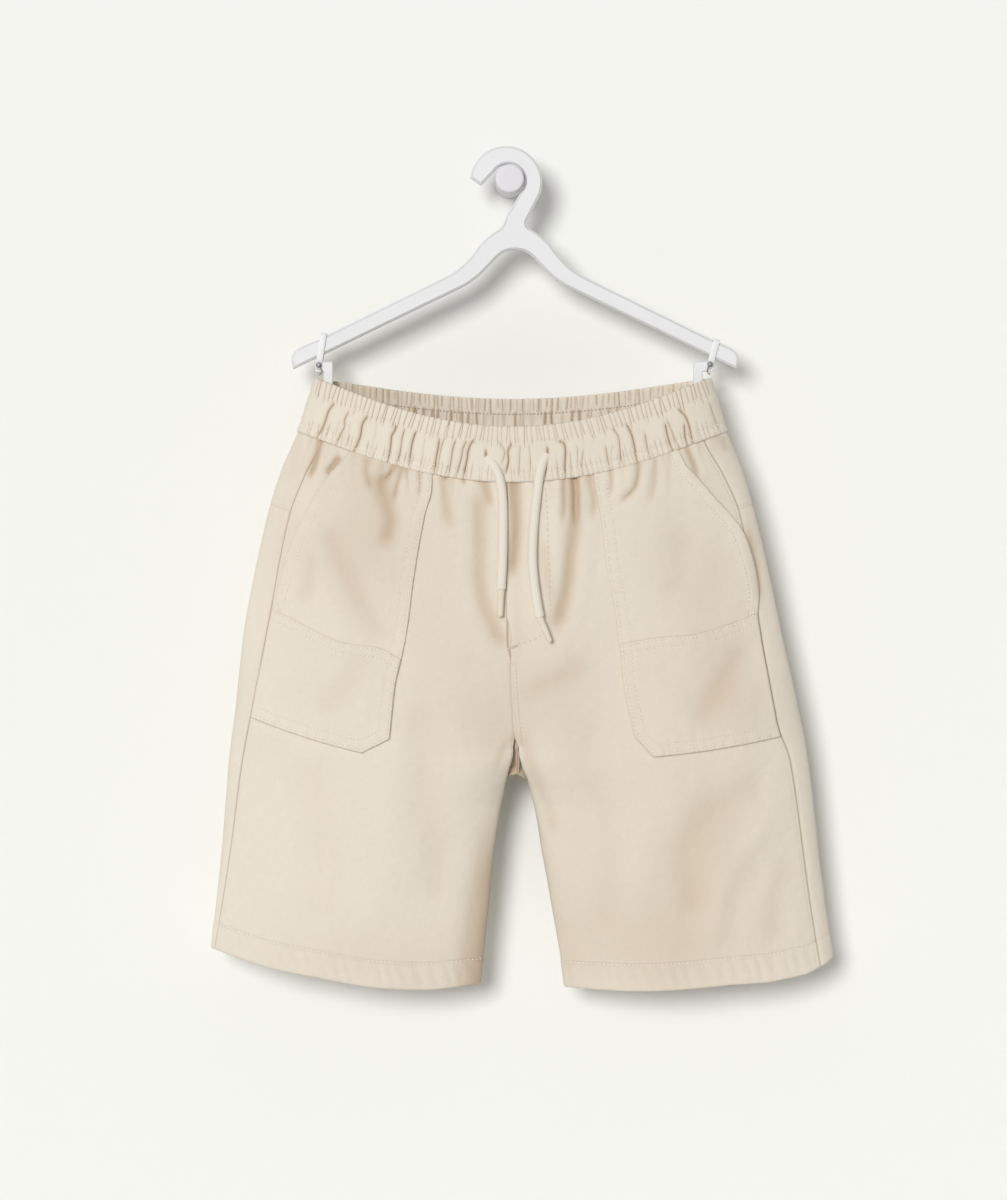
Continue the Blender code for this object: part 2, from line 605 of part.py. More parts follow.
def make_peg(material):
    """The wall peg, from the wall out through the hanger's eye."""
    mesh = bmesh.new()
    bmesh.ops.create_cone(mesh, cap_ends=True, segments=48, radius1=PEG_RADIUS, radius2=PEG_RADIUS,
                          depth=PEG_LENGTH)
    data = bpy.data.meshes.new("wall_peg")
    mesh.to_mesh(data)
    mesh.free()
    data.shade_smooth()
    data.set_sharp_from_angle(angle=math.radians(40))
    peg = add_object("wall_peg", data, material)
    peg.location = (0.0, -PEG_LENGTH / 2, 0.0)
    peg.rotation_euler = (math.pi / 2, 0.0, 0.0)


def arm_middle(x):
    """Height and depth of the hanger's arm at x: its middle on Z and its depth square to its slope."""
    outwards = abs(x - HANGER_MID_X)
    top = -69.3 * MM - (outwards - 50 * MM) * (112 - 69.3) / (137 - 50)
    under = -79.5 * MM - (outwards - 45 * MM) * (133 - 79.5) / (155.4 - 45)
    return (top + under) / 2, (top - under) * math.cos(ARM_SLOPE)


def make_strap(side_name, material):
    """A loop round the hanger's arm whose front run goes on down as a tail."""
    x = STRAP_X[side_name]
    middle_z, arm_depth = arm_middle(x)
    lean = STRAP_LEAN[side_name]
    askew = abs(SIDES[side_name] * ARM_SLOPE - lean)
    hole_y = HANGER_THICK / 2 + TOUCH
    hole_z = arm_depth / 2 / math.cos(askew) + STRAP_WIDTH / 2 * math.tan(askew) + 2 * TOUCH
    out_y = hole_y + STRAP_THICK
    out_z = hole_z + STRAP_THICK
    tail = out_z + STRAP_TAIL
    outer = [(-out_y, out_z), (out_y, out_z), (out_y, -out_z), (-hole_y, -out_z), (-hole_y, -tail),
             (-out_y, -tail)]
    hole = [(-hole_y, hole_z), (hole_y, hole_z), (hole_y, -hole_z), (-hole_y, -hole_z)]
    strap = make_flat_outline(f"strap_{side_name}", [outer, hole], STRAP_WIDTH, material)
    stood = Matrix(((0.0, math.sin(lean), math.cos(lean)),
                    (1.0, 0.0, 0.0),
                    (0.0, math.cos(lean), -math.sin(lean))))
    strap.matrix_world = Matrix.Translation((x, HANGER_Y, middle_z)) @ stood.to_4x4()
    reach = out_z + STRAP_TAIL - PIN_RADIUS - 1.2 * MM
    tail_y = HANGER_Y - out_y
    return (x - math.sin(lean) * reach, tail_y, middle_z - math.cos(lean) * reach)


def make_clip(side_name, plastic, metal):
    """A strap, the tab that it holds inside the waistband's corner, and the pin that joins them."""
    side = SIDES[side_name]
    pin_spot = make_strap(side_name, plastic)
    fold_x = LEVELS[0].centre * MM + side * LEVELS[0].half * MM
    outer = fold_x - side * TAB_INSET
    inner = outer - side * TAB_WIDTH
    ear = pin_spot[0] + side * TAB_EAR
    ear_z = pin_spot[2] - 2 * TAB_EAR
    tab = make_flat_outline(f"clip_tab_{side_name}", [
        [(inner, TAB_TOP_Z), (ear, TAB_TOP_Z), (ear, ear_z), (outer, ear_z), (outer, TAB_BOTTOM_Z),
         (inner, TAB_BOTTOM_Z)]], TAB_THICK, plastic)
    tab.location = (0.0, pin_spot[1] + STRAP_THICK + TOUCH + TAB_THICK / 2, 0.0)
    tab.rotation_euler = (math.pi / 2, 0.0, 0.0)
    mesh = bmesh.new()
    bmesh.ops.create_cone(mesh, cap_ends=True, segments=20, radius1=PIN_RADIUS, radius2=PIN_RADIUS,
                          depth=PIN_LENGTH)
    data = bpy.data.meshes.new(f"clip_pin_{side_name}")
    mesh.to_mesh(data)
    mesh.free()
    pin = add_object(f"clip_pin_{side_name}", data, metal)
    pin.location = (pin_spot[0], pin_spot[1] - TOUCH - PIN_LENGTH / 2, pin_spot[2])
    pin.rotation_euler = (math.pi / 2, 0.0, 0.0)


# ---------------------------------------------------------------- build
def build():
    """Make every piece."""
    cotton = make_material("cotton", (0.72, 0.62, 0.49), 0.9)
    cotton_band = make_material("cotton_band", (0.70, 0.60, 0.47), 0.9)
    cotton_pocket = make_material("cotton_pocket", (0.74, 0.64, 0.51), 0.9)
    cord_cotton = make_material("cord_cotton", (0.78, 0.72, 0.60), 0.85)
    cord_tip = make_material("cord_tip", (0.80, 0.74, 0.62), 0.6)
    white_paint = make_material("white_paint", (0.82, 0.83, 0.83), 0.45)
    white_plastic = make_material("white_plastic", (0.85, 0.86, 0.84), 0.4)
    steel = make_material("steel", (0.45, 0.45, 0.46), 0.35, metallic=1.0)
    make_waistband(cotton_band)
    for side_name in SIDES:
        make_front(side_name, cotton)
        make_back(side_name, cotton_band, cotton)
        make_pocket(side_name, cotton_pocket, cotton_pocket)
        make_drawcord(side_name, cord_cotton, cord_tip)
        make_clip(side_name, white_plastic, steel)
    make_hanger(white_paint)
    make_peg(white_paint)


clear_scene()
PARTS = bpy.data.collections.new("bermuda_shorts")
bpy.context.scene.collection.children.link(PARTS)
build()
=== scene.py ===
# %% [markdown]
# # A child's bermuda shorts on their hanger
#
# The shorts hang by two clip tabs from a flat white hanger, which hangs on a round peg in a wall. They
# are cut from pale cotton twill: two fronts, two backs with a yoke, a gathered waistband, two big patch
# pockets with a second layer of cloth on their lower part, a mock fly and a drawcord.
#
# The imported model is a fixed frame. It already holds each piece as a plain solid of the right size and
# in the right place. This script makes the same pieces again as fine sheets of cloth, with their folds,
# gathers, stitches and weave, and hides the solid that each one stands for.

# %% Load the frame
import math
from collections import namedtuple

import bpy
import numpy as np
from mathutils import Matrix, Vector
from mathutils.bvhtree import BVHTree
from mathutils.geometry import delaunay_2d_cdt


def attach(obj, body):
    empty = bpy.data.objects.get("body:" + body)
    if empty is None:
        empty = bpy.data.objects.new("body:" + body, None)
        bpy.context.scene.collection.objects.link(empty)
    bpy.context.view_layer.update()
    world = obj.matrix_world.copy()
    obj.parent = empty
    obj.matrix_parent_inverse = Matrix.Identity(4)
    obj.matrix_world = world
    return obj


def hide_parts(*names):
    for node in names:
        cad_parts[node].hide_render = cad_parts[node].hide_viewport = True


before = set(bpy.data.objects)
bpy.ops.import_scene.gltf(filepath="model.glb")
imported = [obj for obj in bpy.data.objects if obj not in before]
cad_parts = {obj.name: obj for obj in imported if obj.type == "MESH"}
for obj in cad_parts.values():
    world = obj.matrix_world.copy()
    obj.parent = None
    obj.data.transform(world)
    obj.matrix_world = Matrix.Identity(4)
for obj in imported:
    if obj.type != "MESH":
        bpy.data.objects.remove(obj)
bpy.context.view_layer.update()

MM = 0.001
SIDES = {"right": -1, "left": 1}        # the wearer's sides, as signs on the world's X


def unit(vectors):
    """The same directions, each one long."""
    return vectors / np.linalg.norm(vectors, axis=-1, keepdims=True)


def round_turns(count):
    """Angles of count points evenly spaced round a circle."""
    return np.arange(count) / count * 2 * math.pi


print("solids in the frame:", len(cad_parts))

# %% [markdown]
# ## The camera
#
# Clothes for sale are usually shown from far off with a long lens, so that the outline is nearly the
# garment's own. The camera stands level, a little below the hanger, square to the wall.

# %% Camera
IMAGE_HEIGHT = 1200                     # pixels
MM_PER_PIXEL = 0.70                     # in the plane of the shorts' side folds
FOLD_PLANE_Y = -45 * MM
LENS, SENSOR = 150.0, 36.0              # the sensor's long side stands upright
AIM_X, AIM_Z = -4.27 * MM, -294.7 * MM  # what the middle of the picture shows

camera_data = bpy.data.cameras.new("camera")
camera_data.lens, camera_data.sensor_width = LENS, SENSOR
camera = bpy.data.objects.new("camera", camera_data)
bpy.context.scene.collection.objects.link(camera)
camera_distance = IMAGE_HEIGHT * MM_PER_PIXEL * MM * LENS / SENSOR
camera.location = (AIM_X, FOLD_PLANE_Y - camera_distance, AIM_Z)
camera.rotation_euler = (math.pi / 2, 0.0, 0.0)
bpy.context.scene.camera = camera
print(f"camera {camera_distance:.2f} m from the shorts")

# %% [markdown]
# ## Shader maths as plain sums
#
# A Blender material is a tree of nodes. Wiring up every sum by hand hides the idea, so a small class
# wraps a node's output and lets ordinary operators add the Math nodes.

# %% Wire: a node's output that can be added, multiplied and so on


class Wire:
    """A node's output. + - * / on it add Math nodes, or Vector Math nodes where it is a vector."""

    def __init__(self, tree, socket):
        self.tree, self.socket = tree, socket

    def add(self, kind, settings=None, inputs=None, out=0):
        """Add a node of this kind: its settings are set first, then its sockets get numbers or wires."""
        node = self.tree.nodes.new(kind)
        for name, value in (settings or {}).items():
            setattr(node, name, value)
        for name, value in (inputs or {}).items():
            if isinstance(value, Wire):
                self.tree.links.new(value.socket, node.inputs[name])
            else:
                node.inputs[name].default_value = value
        return Wire(self.tree, node.outputs[out])

    def combine(self, operation, first, second=None):
        """One Math node, or a Vector Math node where either side is a vector."""
        both = [value for value in (first, second) if value is not None]
        vector = any(isinstance(value, Wire) and value.socket.type == "VECTOR" for value in both)
        if vector:
            both = [value if isinstance(value, Wire) else (value,) * 3 for value in both]
        kind = "ShaderNodeVectorMath" if vector else "ShaderNodeMath"
        return self.add(kind, {"operation": operation}, dict(enumerate(both)))

    def __add__(self, other):
        return self.combine("ADD", self, other)

    def __radd__(self, other):
        return self.combine("ADD", other, self)

    def __sub__(self, other):
        return self.combine("SUBTRACT", self, other)

    def __rsub__(self, other):
        return self.combine("SUBTRACT", other, self)

    def __mul__(self, other):
        return self.combine("MULTIPLY", self, other)

    def __rmul__(self, other):
        return self.combine("MULTIPLY", other, self)

    def __truediv__(self, other):
        return self.combine("DIVIDE", self, other)

    def sine(self):
        return self.combine("SINE", self)

    def bell(self, middle, width):
        """1 at the middle value, falling off on both sides as exp(-((value - middle) / width) squared)."""
        off = (self - middle) / width
        power = off * off * -1.0
        return self.combine("EXPONENT", power)

    def clipped(self):
        return self.combine("MINIMUM", self.combine("MAXIMUM", self, 0.0), 1.0)

    def noise(self, scale, detail=2.0, roughness=0.5):
        """Noise from about 0 to 1, with features of about 1 / scale metres, read at this vector."""
        return self.add("ShaderNodeTexNoise", {}, {"Vector": self, "Scale": scale, "Detail": detail,
                                                   "Roughness": roughness}, out="Fac")

    def part(self, letter):
        return self.add("ShaderNodeSeparateXYZ", {}, {0: self}, out=letter)

    def field(self, name, out="Fac"):
        """A named field of the mesh, which the piece's own vertices carry."""
        return self.add("ShaderNodeAttribute", {"attribute_name": name}, out=out)


def mixed(factor, first, second):
    """A colour between two, by a Mix node set to colours."""
    first = first if isinstance(first, Wire) else (*first, 1.0)
    second = second if isinstance(second, Wire) else (*second, 1.0)
    return factor.add("ShaderNodeMix", {"data_type": "RGBA"}, {0: factor, 6: first, 7: second}, out=2)


def new_finish(name, roughness, constants=None):
    """An empty material: its Principled BSDF and a Wire to start from, the object's own coordinates."""
    material = bpy.data.materials.new(name)
    material.use_nodes = True
    tree = material.node_tree
    shader = tree.nodes["Principled BSDF"]
    shader.inputs["Roughness"].default_value = roughness
    for socket, value in (constants or {}).items():
        shader.inputs[socket].default_value = value
    start = Wire(tree, tree.nodes.new("ShaderNodeTexCoord").outputs["Object"])
    return material, shader, start


def connect(shader, socket, wire):
    wire.tree.links.new(wire.socket, shader.inputs[socket])


def bumped(height, start, strength=1.0):
    """A normal from a height in millimetres."""
    return start.add("ShaderNodeBump", {}, {"Strength": strength, "Distance": MM, "Height": height},
                     out="Normal")


print("shader helpers ready")

# %% [markdown]
# ## The surface that all the cloth lies on
#
# Each half of the shorts is a stack of oval sections. A level is named by its drop, measured down the
# side fold from the waistband's corner. In the body both ovals share one middle line, and below the
# fork each is the section of a leg. This is the same table and the same formula as in the solids, so
# every sheet made here lies where its solid lies.

# %% Sizes of the garment
CLOTH = 1.2 * MM              # wall of the solids
WAIST_CORNER_Z = -140 * MM    # the waistband's top, at its two side folds
BAND_DROP = 36 * MM
HEADER = 10 * MM
YOKE_DROP = 88 * MM
FORK_DROP = 237 * MM
FORK_RISE = 62 * MM           # height over which one body section turns into two leg sections
HEM_DROP = 398 * MM
LEFT_LEG_LONGER = 6 * MM

# One section, in mm. centre: where the middle line lies on X. half: middle line to side fold. gap:
# middle line to the leg's inner edge. sag_front, sag_back: how much lower the middle hangs than the
# fold. depth_front, depth_back: from the fold's plane to the cloth. plane: that plane on Y.
# seam_right, seam_left: from the side fold to the side seam, on the front.
Level = namedtuple("Level", "drop centre half gap sag_front sag_back depth_front depth_back plane "
                            "seam_right seam_left")
LEVELS = (
    Level(0,   2.4, 138.5, 0.0,  35, 13.5, 36, 27, -44, 18.0, 17.0),     # band's top edge
    Level(36,  2.0, 149.5, 0.0,  36, 14.0, 36, 27, -44, 18.0, 17.0),     # waist seam
    Level(64,  1.6, 161.0, 0.0,  36, 14.0, 35, 27, -44, 16.5, 13.5),
    Level(92,  1.3, 169.5, 0.0,  35, 14.0, 34, 27, -44, 15.0, 10.5),     # yoke seam
    Level(162, 1.7, 185.0, 0.0,  33, 13.0, 32, 26, -43, 16.5, 14.0),     # hip
    Level(237, 5.4, 197.8, 0.0,  30, 12.0, 29, 23, -42, 11.5, 17.0),     # fork
    Level(263, 6.2, 202.0, 8.0,  30, 12.0, 27, 22, -41, 10.0, 13.0),
    Level(330, 7.6, 209.0, 20.6, 30, 12.0, 24, 20, -40, 6.5, 11.0),      # middle of the leg
    Level(398, 8.7, 217.5, 29.5, 31, 12.0, 22, 18, -39, 3.0, 9.5),       # hem
)

# How much lower the front's hem hangs than the level HEM_DROP: (outwards from the middle line, extra), in mm
HEM_LINE = {
    "right": ((30, 3.4), (33, 1.6), (40, 0.8), (50, 1.0), (64, 1.8), (78, 2.1), (111, 2.5), (144, 1.8),
              (177, 3.0), (210, 0.4), (217, 0.0)),
    "left": ((30, 5.4), (33, 3.6), (40, 2.4), (50, 1.8), (64, 1.9), (92, 2.9), (111, 3.4), (145, 4.6),
             (172, 8.0), (199, 8.0), (212, 4.0), (218, 0.0)),
}
# The back's inner edge stands this much nearer the middle than the front's, in mm: (drop, distance).
# It keeps the two backs together for a little below the fronts' fork.
BACK_LIP = {
    "right": ((175, 0.0), (230, 0.3), (238, 1.2), (243, 2.5), (250, 4.6), (254.5, 6.2), (256.2, 0.2),
              (398, 0.0)),
    "left": ((175, 0.0), (230, 0.3), (238, 1.2), (243, 2.5), (250, 4.6), (255, 6.4), (260.5, 0.2),
             (398, 0.0)),
}
# How far the inner edges stand off the section's, outwards in mm: (drop, distance)
FORK_EDGE = {
    "right": ((176, 0.0), (190, -0.2), (206, -0.5), (216, -0.5), (221, 0.2), (227, 1.0), (235, 2.4),
              (242, 2.7), (252, 2.1), (259, 1.1), (266, 0.8), (280, 1.2), (294, 0.9), (308, 0.4),
              (343, -0.8), (378, -0.9), (398, -0.6)),
    "left": ((150, 0.0), (165, -0.6), (190, -1.0), (206, -1.4), (216, -1.6), (221, -1.9), (227, -1.5),
             (235, 0.7), (242, 0.4), (252, -0.6), (259, -0.6), (266, -1.1), (280, -0.9), (294, -1.3),
             (308, -2.2), (343, -1.6), (378, 0.0), (398, 0.0)),
}
# The stiff seam holds the front forward of the hollow between the two ovals, and holds the back flat
# beside it. Each hold comes in and goes out between two drops, in mm.
BRIDGE_IN, BRIDGE_OUT, BRIDGE_SHARE = (178, 204), (238, 276), 0.85
FLAT_IN, FLAT_OUT, FLAT_DEPTH = (224, 236), (257, 266), 0.36
BEHIND_FRONT = 1.4 * MM       # from the front's inner edge to the back's
FLAT_REACH = 17 * MM          # from the inner edge, over which the flat part fades

# %% The surface as functions of a level and a turn


def smooth_step(value, start, end):
    """0 before start, 1 after end, and an S-curve between them."""
    t = np.clip((value - start) / (end - start), 0.0, 1.0)
    return t * t * (3.0 - 2.0 * t)


def smooth_table(at, value, wanted):
    """A cubic through a table's rows, whose slope at a row is the harmonic mean of the slopes beside it."""
    step = np.diff(at)
    rise = np.diff(value) / step
    slope = np.concatenate([rise[:1], np.zeros(len(rise) - 1), rise[-1:]])
    turning = rise[:-1] * rise[1:] <= 0.0
    total = np.where(turning, 1.0, rise[:-1] + rise[1:])
    slope[1:-1] = np.where(turning, 0.0, 2.0 * rise[:-1] * rise[1:] / total)
    row = np.clip(np.searchsorted(at, wanted, side="right") - 1, 0, len(step) - 1)
    t = np.clip((wanted - at[row]) / step[row], 0.0, 1.0)
    return ((1 + 2 * t) * (1 - t) ** 2 * value[row] + t * (1 - t) ** 2 * step[row] * slope[row]
            + t * t * (3 - 2 * t) * value[row + 1] + t * t * (t - 1) * step[row] * slope[row + 1])


LEVEL_DROPS = np.array([level.drop for level in LEVELS], float) * MM


def level_value(column, drop):
    """One column of LEVELS at any drop, in metres."""
    return smooth_table(LEVEL_DROPS, np.array([getattr(level, column) for level in LEVELS], float) * MM, drop)


def oval(drop):
    """Half-width of the section, its middle's distance from the middle line, and how far it has parted.

    The oval runs from the side fold to the inner edge. In the body its inner half is cut off at the
    middle line, and less and less of it over FORK_RISE, until at the fork it is whole.
    """
    parted = smooth_step(drop, FORK_DROP - FORK_RISE, FORK_DROP)
    half = level_value("half", drop)
    gap = level_value("gap", drop) + 0.6 * CLOTH * parted
    width = (half - gap) / (1.0 + parted)
    return width, half - width, parted


def bare_point(side, drop, turn):
    """x, y and down of the smooth cloth. down is measured from the waistband's corner.

    turn goes round the section: 0 at the inner edge, pi at the side fold and 2 pi at the inner edge
    again, by the back. outwards = middle - width cos(turn), and y = plane -+ depth sin(turn).
    """
    side_name = "left" if side > 0 else "right"
    width, middle, parted = oval(drop)
    outwards = middle - width * np.cos(turn)
    front = np.clip(np.sin(turn), 0.0, 1.0)
    back = np.clip(-np.sin(turn), 0.0, 1.0)
    sag_front, sag_back = level_value("sag_front", drop), level_value("sag_back", drop)
    sag = sag_back + (sag_front - sag_back) * np.where(back > 0, 0.5 * (1 - back) ** 3, 0.5 + 0.5 * front)
    share = (outwards / level_value("half", drop)) ** 2
    longer = LEFT_LEG_LONGER * share * smooth_step(drop, FORK_DROP, HEM_DROP) * (side > 0)
    hem = np.interp(outwards / MM, *np.array(HEM_LINE[side_name]).T) * MM
    hem = hem * smooth_step(drop, 0.72 * HEM_DROP, HEM_DROP) * np.clip(1 - 4 * back, 0.0, 1.0)
    lip = np.interp(drop / MM, *np.array(BACK_LIP[side_name]).T) * MM
    outwards = outwards - lip * smooth_step(turn, 1.55 * math.pi, 2 * math.pi) ** 2 * parted
    y = (level_value("plane", drop) - level_value("depth_front", drop) * front
         + level_value("depth_back", drop) * back)
    hanging = sag * np.clip(1.0 - share, 0.0, 1.0) ** (1.0 + 0.35 * np.clip(4 * back, 0.0, 1.0))
    return level_value("centre", drop) + side * outwards, y, drop + hanging + longer + hem


def front_level(side, outwards, down):
    """The drop and turn of a front point given by its distance from the middle line and its height.

    Found by stepping: each round adds most of the height that is still missing to the drop.
    """
    drop = down * 0.9
    for _ in range(26):
        width, middle, _ = oval(drop)
        turn = np.arccos(np.clip((middle - outwards) / width, -1.0, 1.0))
        drop = np.clip(drop + 0.8 * (down - bare_point(side, drop, turn)[2]), 0.0, 1.2 * HEM_DROP)
    return drop, turn


def side_seam_turn(side, drop):
    """The turn at which the side seam runs down the front face."""
    width, middle, _ = oval(drop)
    inset = level_value("seam_left" if side > 0 else "seam_right", drop)
    return np.arccos((middle - (level_value("half", drop) - inset)) / width)


def inner_turn(drop):
    """The turn of a half's inner edge: the centre seam in the body, the inseam on the leg."""
    return np.arccos(oval(drop)[2])


def even_turns(side, drop, first, last, columns):
    """For each row's drop, turns from first to last that are evenly spaced along the cloth."""
    fine = first[:, None] + (last - first)[:, None] * np.linspace(0, 1, 160)
    x, y, _ = bare_point(side, drop[:, None], fine)
    step = np.hypot(np.diff(x, axis=1), np.diff(y, axis=1))
    length = np.concatenate([np.zeros((len(drop), 1)), np.cumsum(step, axis=1)], axis=1)
    share = np.linspace(0, 1, columns)
    return np.array([np.interp(share * row[-1], row, turns) for row, turns in zip(length, fine)])


print("hem width of one leg:", round(2 * float(oval(np.array([HEM_DROP]))[0][0]) / MM), "mm")

# %% [markdown]
# ## Folds as soft troughs along drawn lines
#
# Cotton twill hangs in creases that run from where it is held, such as the gathers under the waistband
# and the drag lines beside the fly. Each crease here is a smooth line through a few places, with the
# trough's width and depth. Around the line the cloth sinks as a bell and swells a little on both sides,
# as cloth does when it is pushed together. A simulation would put creases where it likes; drawn ones
# stay where the garment has them.

# %% Helpers for drawn lines


def on_wall(x, down):
    """(x, z) places in the world from x and the distance below the waistband's corner."""
    return np.stack([x, WAIST_CORNER_Z - down], axis=1)


def lengths_along(line):
    """Distance along a line from its first point."""
    return np.concatenate([[0.0], np.cumsum(np.linalg.norm(np.diff(line, axis=0), axis=1))])


def read_line(line, at):
    """A line's points at these distances along it."""
    length = lengths_along(line)
    return np.stack([np.interp(at, length, column) for column in line.T], axis=1)


def by_length(line, t):
    """A line's points at shares t of its length."""
    return read_line(line, t * lengths_along(line)[-1])


def smooth_line(points, t):
    """A curve through a few points for t from 0 to 1: each coordinate is a cubic between the points."""
    points = np.array(points, float)
    padded = np.vstack([2 * points[0] - points[1], points, 2 * points[-1] - points[-2]])
    place = np.clip(t, 0, 1) * (len(points) - 1)
    row = np.clip(place.astype(int), 0, len(points) - 2)
    f = (place - row)[:, None]
    a, b, c, d = padded[row], padded[row + 1], padded[row + 2], padded[row + 3]
    return 0.5 * (2 * b + (c - a) * f + (2 * a - 5 * b + 4 * c - d) * f ** 2
                  + (3 * b - a - 3 * c + d) * f ** 3)


def even_line(points, step):
    """The same curve with its points evenly spaced, about step apart."""
    line = smooth_line(points, np.linspace(0, 1, 40 * len(points)))
    whole = lengths_along(line)[-1]
    return read_line(line, np.linspace(0, whole, max(2, round(whole / step) + 1)))


def beside_line(line, x, down, reach):
    """Signed distance from each point to the nearest spot of a line, that spot's place along it, and the
    line's length.

    Points further off than reach keep the distance reach. The sign is positive on the line's left.
    """
    shape = np.shape(x)
    x, down = np.ravel(x), np.ravel(down)
    off = np.full(len(x), reach)
    along = np.zeros(len(x))
    near = np.flatnonzero((x > line[:, 0].min() - reach) & (x < line[:, 0].max() + reach)
                          & (down > line[:, 1].min() - reach) & (down < line[:, 1].max() + reach))
    start = 0.0
    for a, b in zip(line[:-1], line[1:]):
        run = b - a
        size = np.hypot(*run)
        to = np.stack([x[near] - a[0], down[near] - a[1]])
        t = np.clip((to[0] * run[0] + to[1] * run[1]) / size ** 2, 0, 1)
        gap = np.hypot(to[0] - t * run[0], to[1] - t * run[1])
        sign = np.where(to[0] * run[1] - to[1] * run[0] >= 0, 1.0, -1.0)
        closer = gap < np.abs(off[near])
        off[near[closer]] = (sign * gap)[closer]
        along[near[closer]] = (start + t * size)[closer]
        start += size
    return off.reshape(shape), along.reshape(shape), start


# A crease. route: (x, down) in mm through which it runs. width: from its line to where it has faded.
# height: out of the cloth, so a trough is negative. held: the end or ends sewn down, where it stays deep.
Fold = namedtuple("Fold", "route width height held", defaults=("",))
SHADE = 3.0                   # how strongly a crease's steepness counts as shade


def fold_relief(folds, x, down):
    """Height in metres and shade from 0 to 1 of the creases at (x, down).

    Each sinks as a bell and swells beside it. Its shade is its depth over its width, along its core.
    """
    height, shade = np.zeros(np.shape(x)), np.zeros(np.shape(x))
    for fold in folds:
        width = fold.width * MM
        line = even_line(np.array(fold.route) * MM, 0.35 * width + 1.5 * MM)
        off, along, length = beside_line(line, x, down, 3.2 * width)
        run_in = min(0.35 * length, 14 * MM)
        fade = np.ones(np.shape(x))
        if "start" not in fold.held:
            fade = fade * smooth_step(along, -0.2 * run_in, run_in)
        if "end" not in fold.held:
            fade = fade * (1 - smooth_step(along, length - run_in, length + 0.2 * run_in))
        swell = np.exp(-((np.abs(off) - 1.5 * width) * 1.6 / width) ** 2)
        bell = np.exp(-(1.7 * off / width) ** 2) - 0.30 * swell
        height += fold.height * MM * fade * bell
        steep = max(0.0, -fold.height) / fold.width * SHADE * min(1.0, math.sqrt(8 / fold.width))
        shade += steep * fade * np.exp(-(1.5 * off / width) ** 2)
    return height, shade


def ripples(x, y, wavelength, seed, waves=9, stretch=1.0):
    """Uneven swell between about -1 and 1: a sum of sine waves in scattered directions.

    Wavelengths spread over a factor of two about the given one. stretch above 1 makes them longer
    downwards than across.
    """
    rng = np.random.default_rng(seed)
    total = np.zeros(np.shape(x))
    for _ in range(waves):
        angle, phase = rng.uniform(0, 2 * math.pi, 2)
        size = wavelength * rng.uniform(0.7, 1.45)
        total += np.sin(2 * math.pi * (x * math.cos(angle) + y * math.sin(angle) / stretch) / size + phase)
    return total / math.sqrt(waves)


